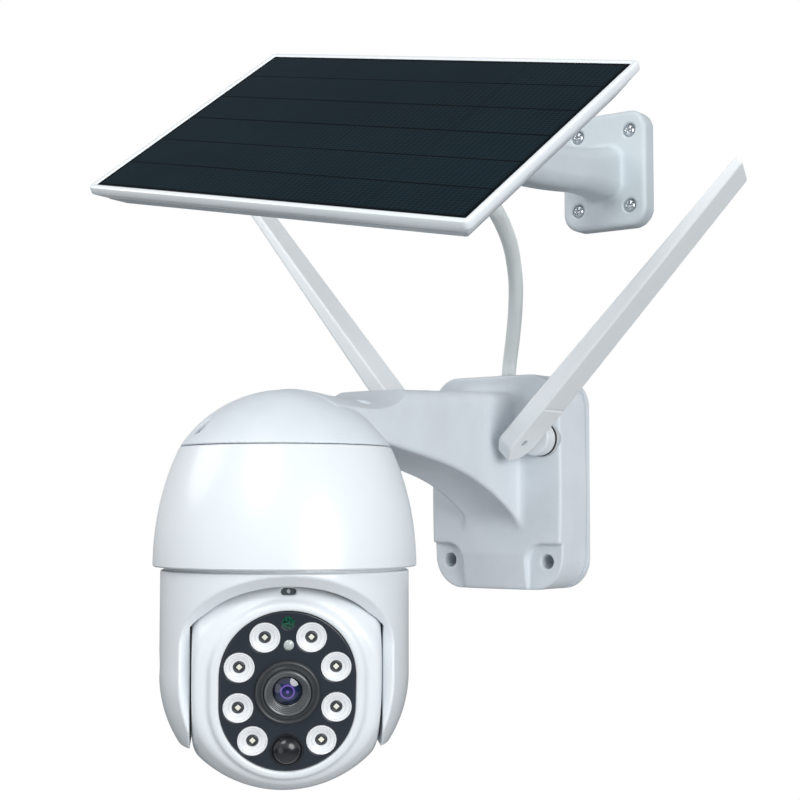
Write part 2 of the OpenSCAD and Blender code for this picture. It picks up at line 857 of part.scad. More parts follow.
// ---------- Panel bracket ----------

// One round-cornered section of the bracket's arm
module arm_section(x, y, z, half_w, half_h, r) {
    translate([x, -y, z]) for (sx = [-1, 1], sz = [-1, 1])
        translate([sx * (half_w - r), 0, sz * (half_h - r)])
        rotate([90, 0, 0]) cylinder(r = r, h = 1, $fn = 32);
}

module panel_bracket() {
    color(white) difference() {
        union() {
            at_bracket() slab(0, bracket_t) rounded_rect(bracket_w, bracket_h, bracket_r);
            hull() {
                arm_section(bracket_x, bracket_t - over, bracket_z - 1, 12, 13, 6);
                arm_section(bracket_x, bracket_t + 8, bracket_z - 2, bracket_arm_r, 10.5, 7);
            }
            hull() {
                arm_section(bracket_x, bracket_t + 8, bracket_z - 2, bracket_arm_r, 10.5, 7);
                arm_section(hinge_x, 50, hinge_z + 2.5, bracket_arm_r, bracket_arm_r, 7);
            }
            hull() {
                arm_section(hinge_x, 50, hinge_z + 2.5, bracket_arm_r, bracket_arm_r, 7);
                arm_section(hinge_x, 90, hinge_z - 1, bracket_arm_r, bracket_arm_r, 8);
            }
            hull() {
                arm_section(hinge_x, 90, hinge_z - 1, bracket_arm_r, bracket_arm_r, 8);
                arm_section(hinge_x, arm_bore_y - 4, hinge_z, bracket_arm_r, bracket_arm_r,
                    bracket_arm_r - over);
            }
            translate([hinge_x, 0, hinge_z]) bar_y(bracket_arm_r, arm_bore_y - 4, arm_end_y);
        }
        at_bracket() corners(bracket_dx, bracket_dz) bar_y(bracket_hole_r, -over, bracket_t + over);
        at_bracket() corners(bracket_dx, bracket_dz) bar_y(pan_head_r + 0.8, bracket_seat_y, bracket_t + 10);
        translate([hinge_x, 0, hinge_z]) bar_y(spigot_r + run_gap, arm_bore_y, arm_end_y + over);
        translate([hinge_x, -arm_bore_y - 8, hinge_z - 2 * bracket_arm_r])
            cylinder(r = 2, h = 2 * bracket_arm_r, $fn = 48);
    }
}

module bracket_screws() {
    color(steel) at_bracket() corners(bracket_dx, bracket_dz) {
        translate([0, -bracket_seat_y, 0]) rotate([90, 0, 0])
            pan_screw(pan_head_r, pan_head_h, stud_r - 0.2, bracket_seat_y + over);
        bar_y(stud_r, -stud_l, 0);
    }
}

// The thumb screw that locks the knuckle's spigot from below
module turn_screw() {
    color(black) translate([hinge_x, -arm_bore_y - 8, hinge_z]) union() {
        translate([0, 0, -bracket_arm_r - 1])
            cylinder(r = 2, h = bracket_arm_r + 1 - spigot_r - 0.3, $fn = 48);
        translate([0, 0, -bracket_arm_r - 7]) cylinder(r = 5, h = 6, $fn = 12);
    }
}

module panel_knuckle() {
    color(white) difference() {
        union() {
            translate([hinge_x, 0, hinge_z]) bar_y(spigot_r, arm_bore_y + 0.5, arm_end_y + 1);
            translate([hinge_x, 0, hinge_z]) bar_y(eye_r - 0.5, arm_end_y + 0.5, arm_end_y + 6);
            at_knuckle() intersection() {
                translate([-eye_half, -eye_r, -eye_r])
                    cube([2 * eye_half, hinge_y - arm_end_y - 3 + eye_r, 2 * eye_r]);
                union() {
                    bar_x(eye_r, -eye_half, eye_half);
                    translate([-eye_half, 0, -eye_r + 1]) cube([2 * eye_half, 2 * eye_r, 2 * eye_r - 2]);
                }
            }
        }
        at_knuckle() bar_x(bolt_r + run_gap, -2 * eye_half, 2 * eye_half);
    }
}

module tilt_bolt() {
    end = eye_half + free_gap + ear_t;
    color(steel) at_lug() union() {
        bar_x(bolt_r, -end, end + bolt_head_h + 1);
        bar_x(bolt_head_r, -end - bolt_head_h, -end);
    }
}

module tilt_nut() {
    end = eye_half + free_gap + ear_t;
    color(steel) at_lug() difference() {
        translate([end, 0, 0]) rotate([0, 90, 0]) cylinder(r = bolt_head_r, h = bolt_head_h, $fn = 6);
        bar_x(bolt_r, 0, 3 * end);
    }
}

module panel_lug() {
    base_z = hinge_h - panel_t - 3;
    color(grey_white) at_lug() difference() {
        union() {
            translate([-17, -12, base_z]) cube([34, 24, 3]);
            for (s = [-1, 1]) translate([s * (eye_half + free_gap + ear_t / 2), 0, 0]) {
                bar_x(eye_r - 1, -ear_t / 2, ear_t / 2);
                translate([-ear_t / 2, -eye_r + 1, 0]) cube([ear_t, 2 * eye_r - 2, base_z + 1]);
            }
        }
        bar_x(bolt_r, -20, 20);
        for (sx = [-1, 1], sy = [-1, 1]) translate([sx * 14, sy * 8.5, base_z - over])
            cylinder(r = 1.6, h = 6, $fn = 48);
    }
}

module lug_screws() {
    base_z = hinge_h - panel_t - 3;
    color(steel) at_lug() for (sx = [-1, 1], sy = [-1, 1]) translate([sx * 14, sy * 8.5, base_z])
        rotate([180, 0, 0]) pan_screw(2.4, 1.6, 1.6, 5);
}

// ---------- Solar panel ----------

module panel_rect(inset) { rounded_rect(panel_w - 2 * inset, panel_d - 2 * inset, 4); }

module panel_frame() {
    color(white) at_panel() difference() {
        translate([0, 0, -frame_deep]) linear_extrude(height = frame_deep) panel_rect(0);
        translate([0, 0, -glass_t]) linear_extrude(height = glass_t + over) panel_rect(border);
        translate([0, 0, -frame_deep - over]) linear_extrude(height = frame_deep + 2 * over)
            panel_rect(border + 2.5);
    }
}

module panel_glass() {
    color([0.1, 0.14, 0.17]) at_panel() translate([0, 0, -glass_t])
        linear_extrude(height = glass_t - 0.2) panel_rect(border);
}

module solar_cells() {
    field_w = panel_w - 2 * border - 8;
    field_d = panel_d - 2 * border - 8;
    pitch_x = field_w / cell_columns;
    pitch_y = field_d / cell_rows;
    color(cell_blue) at_panel() for (i = [0 : cell_columns - 1], j = [0 : cell_rows - 1])
        translate([-field_w / 2 + i * pitch_x + cell_gap / 2, -field_d / 2 + j * pitch_y +
            cell_gap / 2, -glass_t - cell_t])
        cube([pitch_x - cell_gap, pitch_y - cell_gap, cell_t]);
}

module panel_back() {
    color(grey_white) at_panel() difference() {
        translate([0, 0, -panel_t]) linear_extrude(height = panel_t - frame_deep) panel_rect(back_inset);
        lug_holes();
    }
}

module lug_holes() {
    for (sx = [-1, 1], sy = [-1, 1]) translate([hinge_u + sx * 14, hinge_v + sy * 8.5, -panel_t - over])
        cylinder(r = 1.6, h = 3.2, $fn = 48);
}

module junction_box() {
    color(grey_white) at_panel() translate([jbox_x, jbox_y, -panel_t - jbox_h])
        linear_extrude(height = jbox_h)
        rounded_rect(jbox_w, jbox_d, 3);
}

module panel_gland() {
    color(grey_white) at_panel() translate([jgland_x, jgland_y, -panel_t - jbox_h - jgland_l])
        cylinder(r = jgland_r, h = jgland_l, $fn = 48);
}

// ---------- Cable ----------

// A point on the smooth curve through the route, between points i and i + 1
function clamp_at(p, i) = p[max(0, min(len(p) - 1, i))];
function smooth(p, i, t) =
    let (a = clamp_at(p, i - 1), b = p[i], c = clamp_at(p, i + 1), d = clamp_at(p, i + 2))
    0.5 * (2 * b + (c - a) * t + (2 * a - 5 * b + 4 * c - d) * t * t + (3 * b - a - 3 * c + d) * t * t * t);
function route_points(p, n) = concat(
    [for (i = [0 : len(p) - 2], k = [0 : n - 1]) smooth(p, i, k / n)], [p[len(p) - 1]]);
function unit(v) = v / norm(v);
function heading(q, i) = unit(q[min(i + 1, len(q) - 1)] - q[max(i - 1, 0)]);

// A round tube swept along the route, its rings turned so that it doesn't twist
module tube(route, r, sides, steps, start_dir, end_dir) {
    q = route_points(route, steps);
    last = len(q) - 1;
    function dir(i) = i == 0 ? unit(start_dir) : i == last ? unit(end_dir) : heading(q, i);
    function across(i) = unit(cross(dir(i), [0.9, 0.44, 0]));
    function ring(i) = [for (k = [0 : sides - 1]) let (a = 360 * k / sides)
        q[i] + r * (cos(a) * across(i) + sin(a) * cross(dir(i), across(i)))];
    points = [for (i = [0 : last]) each ring(i)];
    faces = concat(
        [[for (k = [0 : sides - 1]) k]],
        [for (i = [0 : last - 1], k = [0 : sides - 1]) let (n = (k + 1) % sides)
            [i * sides + k, (i + 1) * sides + k, (i + 1) * sides + n, i * sides + n]],
        [[for (k = [sides - 1 : -1 : 0]) last * sides + k]]
    );
    polyhedron(points = points, faces = faces, convexity = 6);
}

joint_dir = cable_lower_route[1] - cable_upper_route[len(cable_upper_route) - 2];

module panel_cable_upper() {
    color(white) tube(cable_upper_route, cable_r, cable_sides, cable_steps, turned([0, 0, -1]), joint_dir);
}

module panel_cable_lower() {
    color(white) tube(cable_lower_route, cable_r, cable_sides, cable_steps, joint_dir, [0, 0, -1]);
}

arm_housing();
back_plate();
back_gasket();
battery_cells();
charge_board();
box_gland();
dome_shell();
cap_screws();
pan_chassis();
pan_bearing();
pan_motor();
pan_pinion();
yoke_shell();
pan_gear();
pan_spindle();
spindle_nut();
tilt_bush();
tilt_shaft();
head_front();
head_rear();
face_panel();
led_reflectors();
led_chips();
led_board();
lens_barrel();
lens_ring();
lens_glass();
pir_dome();
status_window();
light_sensor();
main_board();
speaker();
tilt_motor();
tilt_pin();
head_screws();
antenna_base_right();
antenna_knuckle_right();
antenna_pin_right();
antenna_blade_right();
antenna_base_left();
antenna_knuckle_left();
antenna_pin_left();
antenna_blade_left();
panel_bracket();
bracket_screws();
turn_screw();
panel_knuckle();
tilt_bolt();
tilt_nut();
panel_lug();
lug_screws();
panel_frame();
panel_glass();
solar_cells();
panel_back();
junction_box();
panel_gland();
panel_cable_upper();
panel_cable_lower();
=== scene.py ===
"""Looks of the solar-powered pan and tilt security camera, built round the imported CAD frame.

Shapes are worked out in millimetres and written in metres. Moulded pieces are meshed from a distance
function, so that their edges and joins have the small rounds of an injection moulding.
"""
import math

import bpy
import numpy as np
from mathutils import Matrix, Vector


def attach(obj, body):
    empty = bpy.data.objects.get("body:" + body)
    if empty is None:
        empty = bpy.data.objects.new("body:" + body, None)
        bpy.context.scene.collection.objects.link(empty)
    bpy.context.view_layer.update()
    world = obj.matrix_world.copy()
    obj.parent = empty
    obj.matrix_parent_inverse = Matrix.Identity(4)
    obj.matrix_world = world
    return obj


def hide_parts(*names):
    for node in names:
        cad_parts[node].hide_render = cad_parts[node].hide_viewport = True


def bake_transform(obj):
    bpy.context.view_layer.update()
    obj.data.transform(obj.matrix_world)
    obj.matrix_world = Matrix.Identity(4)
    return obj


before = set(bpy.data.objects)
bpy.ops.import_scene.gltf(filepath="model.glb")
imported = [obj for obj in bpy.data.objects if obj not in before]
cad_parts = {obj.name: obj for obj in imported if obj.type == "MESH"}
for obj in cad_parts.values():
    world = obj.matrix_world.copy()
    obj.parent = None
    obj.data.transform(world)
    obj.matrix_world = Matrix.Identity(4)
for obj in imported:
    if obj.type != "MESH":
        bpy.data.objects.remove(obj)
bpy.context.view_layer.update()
MM = 0.001


# ---------------------------------------------------------------- camera and light

def add_camera():
    data = bpy.data.cameras.new("camera")
    data.lens = 72.0
    data.sensor_width = 36.0
    data.clip_start, data.clip_end = 0.01, 20.0
    cam = bpy.data.objects.new("camera", data)
    cam.location = (0.420, -0.684, -0.0123)
    cam.rotation_euler = (math.radians(93.85), 0.0, math.radians(36.0))
    bpy.context.scene.collection.objects.link(cam)
    bpy.context.scene.camera = cam


def add_area(name, at, aim, size, watts, colour):
    data = bpy.data.lights.new(name, "AREA")
    data.shape = "DISK"
    data.size = size
    data.energy = watts
    data.color = colour
    lamp = bpy.data.objects.new(name, data)
    lamp.location = at
    lamp.rotation_mode = "QUATERNION"
    lamp.rotation_quaternion = (Vector(aim) - Vector(at)).to_track_quat("-Z", "Y")
    bpy.context.scene.collection.objects.link(lamp)


add_camera()
MIDDLE = (0.0, -0.13, 0.03)
add_area("key", (-1.15, -1.0, 0.9), MIDDLE, 1.0, 7.0, (1.0, 1.0, 1.0))
add_area("front", (0.3, -1.4, 1.0), MIDDLE, 0.9, 9.0, (0.98, 0.99, 1.0))
add_area("low", (0.1, -1.5, -0.45), MIDDLE, 0.8, 1.6, (0.98, 0.99, 1.0))
add_area("side", (1.5, -0.7, 0.15), MIDDLE, 1.0, 15.5, (0.98, 0.99, 1.0))
add_area("top", (0.05, -0.35, 1.3), MIDDLE, 0.8, 3.0, (1.0, 1.0, 1.0))


def set_stops(ramp, stops):
    """Gives a colour ramp its (place, colour) stops."""
    elements = ramp.color_ramp.elements
    while len(elements) < len(stops):
        elements.new(0.5)
    for element, (at, colour) in zip(elements, stops):
        element.position = at
        element.color = (*colour, 1.0)


SKY_TINT = (0.95, 0.985, 1.03)
SKY_LEVELS = [(0.0, 0.02), (0.44, 0.05), (0.54, 0.62), (0.72, 0.58), (0.86, 0.12), (1.0, 0.10)]


def add_world():
    """A white backdrop, and a dimmer sky for the light: brightest at the horizon, dark overhead and below."""
    world = bpy.data.worlds.new("studio")
    world.use_nodes = True
    tree = world.node_tree
    back = tree.nodes["Background"]
    where = tree.nodes.new("ShaderNodeTexCoord")
    split = tree.nodes.new("ShaderNodeSeparateXYZ")
    tree.links.new(where.outputs["Generated"], split.inputs["Vector"])
    height = tree.nodes.new("ShaderNodeMapRange")
    height.inputs["From Min"].default_value = -1.0
    tree.links.new(split.outputs["Z"], height.inputs["Value"])
    ramp = tree.nodes.new("ShaderNodeValToRGB")
    set_stops(ramp, [(at, tuple(level * tint for tint in SKY_TINT)) for at, level in SKY_LEVELS])
    tree.links.new(height.outputs["Result"], ramp.inputs["Fac"])
    rays = tree.nodes.new("ShaderNodeLightPath")
    mix = tree.nodes.new("ShaderNodeMixRGB")
    tree.links.new(rays.outputs["Is Camera Ray"], mix.inputs["Fac"])
    tree.links.new(ramp.outputs["Color"], mix.inputs["Color1"])
    mix.inputs["Color2"].default_value = (1.0, 1.0, 1.0, 1.0)
    tree.links.new(mix.outputs["Color"], back.inputs["Color"])
    bpy.context.scene.world = world


add_world()
bpy.context.scene.view_settings.view_transform = "Standard"


# ---------------------------------------------------------------- materials

def new_material(name, colour, rough, metallic=0.0, **sockets):
    """A material with its shader's own sockets set; returns it with its node tree's handy parts."""
    mat = bpy.data.materials.new(name)
    mat.use_nodes = True
    tree = mat.node_tree
    shader = tree.nodes["Principled BSDF"]
    shader.inputs["Base Color"].default_value = (*colour, 1.0)
    shader.inputs["Roughness"].default_value = rough
    shader.inputs["Metallic"].default_value = metallic
    for key, value in sockets.items():
        shader.inputs[key.replace("_", " ")].default_value = value
    return mat, tree, shader


def add_noise(tree, scale, detail=3.0):
    where = tree.nodes.new("ShaderNodeTexCoord")
    noise = tree.nodes.new("ShaderNodeTexNoise")
    noise.inputs["Scale"].default_value = scale
    noise.inputs["Detail"].default_value = detail
    tree.links.new(where.outputs["Object"], noise.inputs["Vector"])
    return noise


def ramp_between(tree, source, low, high, a, b):
    """Colour a where the source is at low, b where it is at high."""
    ramp = tree.nodes.new("ShaderNodeValToRGB")
    ramp.color_ramp.elements[0].position = low
    ramp.color_ramp.elements[1].position = high
    ramp.color_ramp.elements[0].color = (*a, 1.0)
    ramp.color_ramp.elements[1].color = (*b, 1.0)
    tree.links.new(source, ramp.inputs["Fac"])
    return ramp.outputs["Color"]


GLOSS_SPREAD = 0.015
COARSE_GRAIN = 0.00005  # metres; a deeper grain than this is given a stronger bump


def grained(name, colour, rough, grain_scale, grain_depth, spread=0.03, metallic=0.0, **sockets):
    """Moulded plastic or paint: a fine grain in the surface, a slow drift in colour and in gloss."""
    mat, tree, shader = new_material(name, colour, rough, metallic, **sockets)
    drift = add_noise(tree, 45.0, 4.0)
    darker = tuple(c * (1.0 - spread) for c in colour)
    lighter = tuple(min(1.0, c * (1.0 + spread)) for c in colour)
    tree.links.new(ramp_between(tree, drift.outputs["Fac"], 0.35, 0.65, darker, lighter),
                   shader.inputs["Base Color"])
    gloss = add_noise(tree, 60.0, 2.0)
    low, high = max(0.0, rough - GLOSS_SPREAD), min(1.0, rough + GLOSS_SPREAD)
    tree.links.new(ramp_between(tree, gloss.outputs["Fac"], 0.3, 0.7, (low,) * 3, (high,) * 3),
                   shader.inputs["Roughness"])
    grain = add_noise(tree, grain_scale, 2.0)
    bump = tree.nodes.new("ShaderNodeBump")
    bump.inputs["Strength"].default_value = 0.35 if grain_depth > COARSE_GRAIN else 0.08
    bump.inputs["Distance"].default_value = grain_depth
    tree.links.new(grain.outputs["Fac"], bump.inputs["Height"])
    tree.links.new(bump.outputs["Normal"], shader.inputs["Normal"])
    return mat


WHITE = grained("white_gloss", (0.83, 0.87, 0.895), 0.30, 1500.0, 0.00002, 0.006, Coat_Weight=0.25,
                Coat_Roughness=0.12, Specular_IOR_Level=0.5)
WHITE_TEXTURED = grained("white_spark", (0.76, 0.81, 0.85), 0.46, 1700.0, 0.00022, 0.025)
WHITE_BLADE = grained("white_blade", (0.90, 0.93, 0.945), 0.36, 1500.0, 0.00003, 0.006, Coat_Weight=0.15)
WHITE_PAINT = grained("white_paint", (0.58, 0.64, 0.67), 0.38, 1300.0, 0.00006, 0.02)
GREY = grained("grey_plastic", (0.56, 0.60, 0.63), 0.5, 1200.0, 0.00008)
CABLE_JACKET = grained("cable_jacket", (0.87, 0.91, 0.90), 0.42, 900.0, 0.00004, 0.015)
BLACK = grained("black_gloss", (0.020, 0.027, 0.038), 0.30, 1400.0, 0.00001, 0.08, Coat_Weight=0.15)
BLACK_SATIN = grained("black_satin", (0.045, 0.050, 0.055), 0.34, 1400.0, 0.00003, 0.1)
LENS_METAL = grained("lens_metal", (0.13, 0.14, 0.145), 0.26, 1200.0, 0.00001, 0.05, metallic=0.3)
MIC_GREY = grained("mic_grey", (0.10, 0.12, 0.13), 0.5, 1200.0, 0.00004, 0.1)
RUBBER = grained("rubber", (0.018, 0.018, 0.018), 0.7, 900.0, 0.00010, 0.15)
STEEL = grained("steel", (0.66, 0.69, 0.72), 0.20, 2200.0, 0.00003, 0.05, metallic=1.0)
BRASS = grained("brass", (0.62, 0.47, 0.20), 0.28, 2200.0, 0.00003, 0.06, metallic=1.0)
BOARD = grained("circuit_board", (0.015, 0.13, 0.055), 0.35, 500.0, 0.00010, 0.25)
WRAP = grained("battery_wrap", (0.05, 0.20, 0.36), 0.25, 500.0, 0.00004, 0.06)
RIM_WHITE = grained("cup_rim", (0.86, 0.88, 0.90), 0.22, 1200.0, 0.00002, 0.02)
CHIP = grained("led_chip", (0.85, 0.84, 0.72), 0.35, 2500.0, 0.00004, 0.08)
SENSOR = grained("milky_sensor", (0.55, 0.60, 0.58), 0.18, 2500.0, 0.00006, 0.10, Coat_Weight=0.6)
PIR = grained("pir_black", (0.014, 0.016, 0.020), 0.24, 1200.0, 0.00001, 0.08, Coat_Weight=0.3)


def window_material():
    """The status window: small green facets that darken towards their seams."""
    mat, tree, shader = new_material("status_window", (0.01, 0.12, 0.07), 0.15, Coat_Weight=0.8)
    where = tree.nodes.new("ShaderNodeTexCoord")
    cells = tree.nodes.new("ShaderNodeTexVoronoi")
    cells.inputs["Scale"].default_value = 1300.0
    tree.links.new(where.outputs["Object"], cells.inputs["Vector"])
    net = ramp_between(tree, cells.outputs["Distance"], 0.2, 0.6, (0.012, 0.12, 0.07), (0.003, 0.03, 0.02))
    tree.links.new(net, shader.inputs["Base Color"])
    return mat


def lens_material_painted_reflections():
    """Coated glass: dark navy, with painted reflections of the coated lens elements: violet at the middle and
    in a ring half way out.
    """
    mat, tree, shader = new_material("lens_glass", (0.05, 0.04, 0.18), 0.04, Coat_Weight=1.0,
                                     Coat_Roughness=0.02)
    uv = tree.nodes.new("ShaderNodeUVMap")
    length = tree.nodes.new("ShaderNodeVectorMath")
    length.operation = "LENGTH"
    tree.links.new(uv.outputs["UV"], length.inputs[0])
    ramp = tree.nodes.new("ShaderNodeValToRGB")
    # the violet middle and ring are painted reflections of the lens coatings, not the colour of the glass
    stops = [(0.0, (0.16, 0.10, 0.42)), (0.09, (0.13, 0.09, 0.38)), (0.15, (0.012, 0.016, 0.07)),
             (0.38, (0.014, 0.020, 0.085)), (0.42, (0.22, 0.13, 0.52)), (0.46, (0.20, 0.11, 0.48)),
             (0.52, (0.012, 0.024, 0.09)), (1.0, (0.004, 0.008, 0.014))]
    set_stops(ramp, stops)
    tree.links.new(length.outputs["Value"], ramp.inputs["Fac"])
    tree.links.new(ramp.outputs["Color"], shader.inputs["Base Color"])
    return mat


def math_node(tree, operation, a, b=None):
    """A sum in the node tree; each side is a number or another node's output."""
    node = tree.nodes.new("ShaderNodeMath")
    node.operation = operation
    for i, value in enumerate((a, b)):
        if value is None:
            continue
        if isinstance(value, (int, float)):
            node.inputs[i].default_value = value
        else:
            tree.links.new(value, node.inputs[i])
    return node.outputs["Value"]


def line_mask(tree, coordinate, pitch, width):
    """1 on thin lines that repeat every pitch along a coordinate, 0 between them; all in millimetres."""
    place = math_node(tree, "FRACT", math_node(tree, "DIVIDE", coordinate, pitch))
    away = math_node(tree, "ABSOLUTE", math_node(tree, "SUBTRACT", place, 0.5))
    return math_node(tree, "GREATER_THAN", away, 0.5 - width / pitch / 2)


CELL_COLUMNS = 4
CELL_MARGIN = 1.6


def solar_material(half_w, half_d, rows):
    """Dark cells under glass: seams between the rows and a net of fine conductors. UV is in millimetres."""
    mat, tree, shader = new_material("solar_cells", (0.008, 0.018, 0.026), 0.16, Specular_IOR_Level=0.09)
    uv = tree.nodes.new("ShaderNodeUVMap")
    split = tree.nodes.new("ShaderNodeSeparateXYZ")
    tree.links.new(uv.outputs["UV"], split.inputs["Vector"])
    u = math_node(tree, "ADD", split.outputs["X"], half_w)
    v = math_node(tree, "ADD", split.outputs["Y"], half_d)
    fine = math_node(tree, "MAXIMUM", line_mask(tree, u, 2.4, 0.28), line_mask(tree, v, 1.6, 0.22))
    seam = line_mask(tree, v, 2 * half_d / rows, 0.9)
    column = math_node(tree, "MULTIPLY", line_mask(tree, u, 2 * half_w / CELL_COLUMNS, 0.5), 0.35)
    past = []
    for axis, half in (("X", half_w), ("Y", half_d)):
        away = math_node(tree, "ABSOLUTE", split.outputs[axis])
        past.append(math_node(tree, "GREATER_THAN", away, half - CELL_MARGIN))
    edge = math_node(tree, "MAXIMUM", *past)
    dark = math_node(tree, "MAXIMUM", math_node(tree, "MAXIMUM", seam, column), edge)
    noise = add_noise(tree, 30.0, 3.0)
    base = ramp_between(tree, noise.outputs["Fac"], 0.3, 0.7, (0.005, 0.011, 0.016), (0.007, 0.015, 0.021))
    for mask, colour in ((fine, (0.013, 0.027, 0.035, 1.0)), (dark, (0.002, 0.005, 0.007, 1.0))):
        mix = tree.nodes.new("ShaderNodeMix")
        mix.data_type = "RGBA"
        tree.links.new(mask, mix.inputs["Factor"])
        # the mix node has one pair of sockets for each data type: the colour ones are the last of their names
        colour_in = [s for s in mix.inputs if s.type == "RGBA"]
        tree.links.new(base, colour_in[0])
        colour_in[1].default_value = colour
        base = [s for s in mix.outputs if s.type == "RGBA"][0]
    tree.links.new(base, shader.inputs["Base Color"])
    return mat


# ---------------------------------------------------------------- mesh helpers

def make_object(name, verts_mm, faces, material, place=None):
    """A smooth mesh object from points in millimetres, placed by a 4x4 in metres."""
    co = np.asarray(verts_mm, float) * MM
    if place is not None:
        m = np.array(place, float)
        co = co @ m[:3, :3].T + m[:3, 3]
    mesh = bpy.data.meshes.new(name)
    if isinstance(faces, np.ndarray):
        n = len(faces)
        mesh.vertices.add(len(co))
        mesh.vertices.foreach_set("co", co.ravel())
        mesh.loops.add(n * 4)
        mesh.loops.foreach_set("vertex_index", faces.ravel())
        mesh.polygons.add(n)
        mesh.polygons.foreach_set("loop_start", np.arange(0, n * 4, 4))
        mesh.update(calc_edges=True)
    else:
        mesh.from_pydata([tuple(c) for c in co], [], faces)
    mesh.validate()
    mesh.polygons.foreach_set("use_smooth", np.full(len(mesh.polygons), True))
    mesh.materials.append(material)
    obj = bpy.data.objects.new(name, mesh)
    bpy.context.scene.collection.objects.link(obj)
    return obj


def finish_piece(obj, body, slot, *nodes):
    """The body a piece rides on, its material slot (not used) and the CAD nodes it stands for, if any."""
    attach(obj, body)
    if nodes:
        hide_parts(*nodes)


def sharp_by_angle(obj, degrees=32.0):
    """Smooth shading that keeps edges above an angle crisp."""
    obj.data.set_sharp_from_angle(angle=math.radians(degrees))
    return obj


ON_AXIS = 1e-6


def revolve(name, profile, material, place, segments):
    """A closed surface of revolution about Z through (radius, height) points, outside on the right."""
    verts, faces, rings = [], [], []
    for r, z in profile:
        if r < ON_AXIS:
            rings.append([len(verts)])
            verts.append((0.0, 0.0, z))
        else:
            rings.append(list(range(len(verts), len(verts) + segments)))
            for k in range(segments):
                a = 2 * math.pi * k / segments
                verts.append((r * math.cos(a), r * math.sin(a), z))
    for a, b in zip(rings, rings[1:] + rings[:1]):
        if len(a) == 1 and len(b) == 1:
            continue
        for k in range(segments):
            n = (k + 1) % segments
            if len(a) == 1:
                faces.append((a[0], b[n], b[k]))
            elif len(b) == 1:
                faces.append((a[k], a[n], b[0]))
            else:
                faces.append((a[k], a[n], b[n], b[k]))
    return sharp_by_angle(make_object(name, verts, faces, material, place))


SLAB_POINTS = 4e6  # grid points worked out at once, which keeps memory down
FIT_ROUNDS = 2


def surface_nets(f, lo, hi, cell):
    """Quads on the zero surface of a distance function over a box in millimetres."""
    axes = [np.arange(a - cell, b + 2 * cell, cell) for a, b in zip(lo, hi)]
    shape = [len(a) for a in axes]
    value = np.empty(shape, np.float32)
    slab = max(1, int(SLAB_POINTS / (shape[1] * shape[2])))
    for start in range(0, shape[0], slab):
        part = np.meshgrid(axes[0][start:start + slab], axes[1], axes[2], indexing="ij")
        value[start:start + slab] = f(*part)
    value[value == 0] = 1e-6
    cells = tuple(s - 1 for s in shape)
    total = np.zeros((*cells, 3), np.float32)
    count = np.zeros(cells, np.uint8)
    quads = []
    for axis in range(3):
        u, v = [a for a in range(3) if a != axis]
        near = [slice(None)] * 3
        far = [slice(None)] * 3
        near[axis], far[axis] = slice(0, -1), slice(1, None)
        a, b = value[tuple(near)], value[tuple(far)]
        i = np.argwhere((a < 0) != (b < 0))
        if not len(i):
            continue
        va, vb = a[tuple(i.T)], b[tuple(i.T)]
        point = i.astype(np.float32)
        point[:, axis] += va / (va - vb)
        corner = []
        for du, dv in ((-1, -1), (0, -1), (0, 0), (-1, 0)):
            c = i.copy()
            c[:, u] += du
            c[:, v] += dv
            ok = np.all((c >= 0) & (c < np.array(cells)), axis=1)
            np.add.at(total, tuple(c[ok].T), point[ok])
            np.add.at(count, tuple(c[ok].T), 1)
            corner.append(c)
        ok = np.ones(len(i), bool)
        for c in corner:
            ok &= np.all((c >= 0) & (c < np.array(cells)), axis=1)
        flip = (va < 0) == (axis != 1)
        order = np.where(flip[:, None], np.array([0, 1, 2, 3]), np.array([3, 2, 1, 0]))
        stack = np.stack([np.ravel_multi_index(tuple(np.clip(c, 0, np.array(cells) - 1).T), cells)
                          for c in corner], axis=1)
        quads.append(np.take_along_axis(stack, order, axis=1)[ok])
    quads = np.concatenate(quads)
    used, back = np.unique(quads, return_inverse=True)
    points = total.reshape(-1, 3)[used] / count.reshape(-1)[used][:, None]
    origin = np.array([a[0] for a in axes])
    points = origin + points.astype(float) * cell
    # each point then moves along the slope onto the surface, at most half a cell in a round
    step = cell * 0.25
    for _ in range(FIT_ROUNDS):
        x, y, z = points.T
        here = f(x, y, z)
        grad = np.stack([f(x + step, y, z) - f(x - step, y, z), f(x, y + step, z) - f(x, y - step, z),
                         f(x, y, z + step) - f(x, y, z - step)], axis=1) / (2 * step)
        size = np.maximum((grad ** 2).sum(1), 0.25)
        move = -(here / size)[:, None] * grad
        limit = np.linalg.norm(move, axis=1, keepdims=True)
        move *= np.minimum(1.0, 0.5 * cell / np.maximum(limit, 1e-9))
        points = points + move
    return points, back.reshape(-1, 4).astype(np.int32)


def mould(name, f, lo, hi, cell, material, place, body, slot, *nodes):
    """A piece meshed from a distance function over a box."""
    verts, faces = surface_nets(f, lo, hi, cell)
    finish_piece(make_object(name, verts, faces, material, place), body, slot, *nodes)


def turned(name, profile, material, place, segments, body, slot, *nodes):
    """A piece turned from a profile."""
    finish_piece(revolve(name, profile, material, place, segments), body, slot, *nodes)


# Distance functions: all take and give arrays in millimetres

def smin(a, b, k):
    """The nearer of two shapes, with a fillet of about k where they meet."""
    h = np.clip(0.5 + 0.5 * (b - a) / k, 0, 1)
    return b * (1 - h) + a * h - k * h * (1 - h)


def smax(a, b, k):
    """What two shapes share, with its edges rounded by about k."""
    return -smin(-a, -b, k)


def sphere(x, y, z, r):
    return np.sqrt(x ** 2 + y ** 2 + z ** 2) - r


def rrect(x, y, half_w, half_h, r):
    qx, qy = np.abs(x) - half_w + r, np.abs(y) - half_h + r
    return np.hypot(np.maximum(qx, 0), np.maximum(qy, 0)) + np.minimum(np.maximum(qx, qy), 0) - r


def hexagon(x, y, half):
    """A six-sided bar about Z, half its width across the flats."""
    a = np.arctan2(y, x)
    flat = np.abs((a + np.pi / 6) % (np.pi / 3) - np.pi / 6)
    return np.hypot(x, y) * np.cos(flat) - half


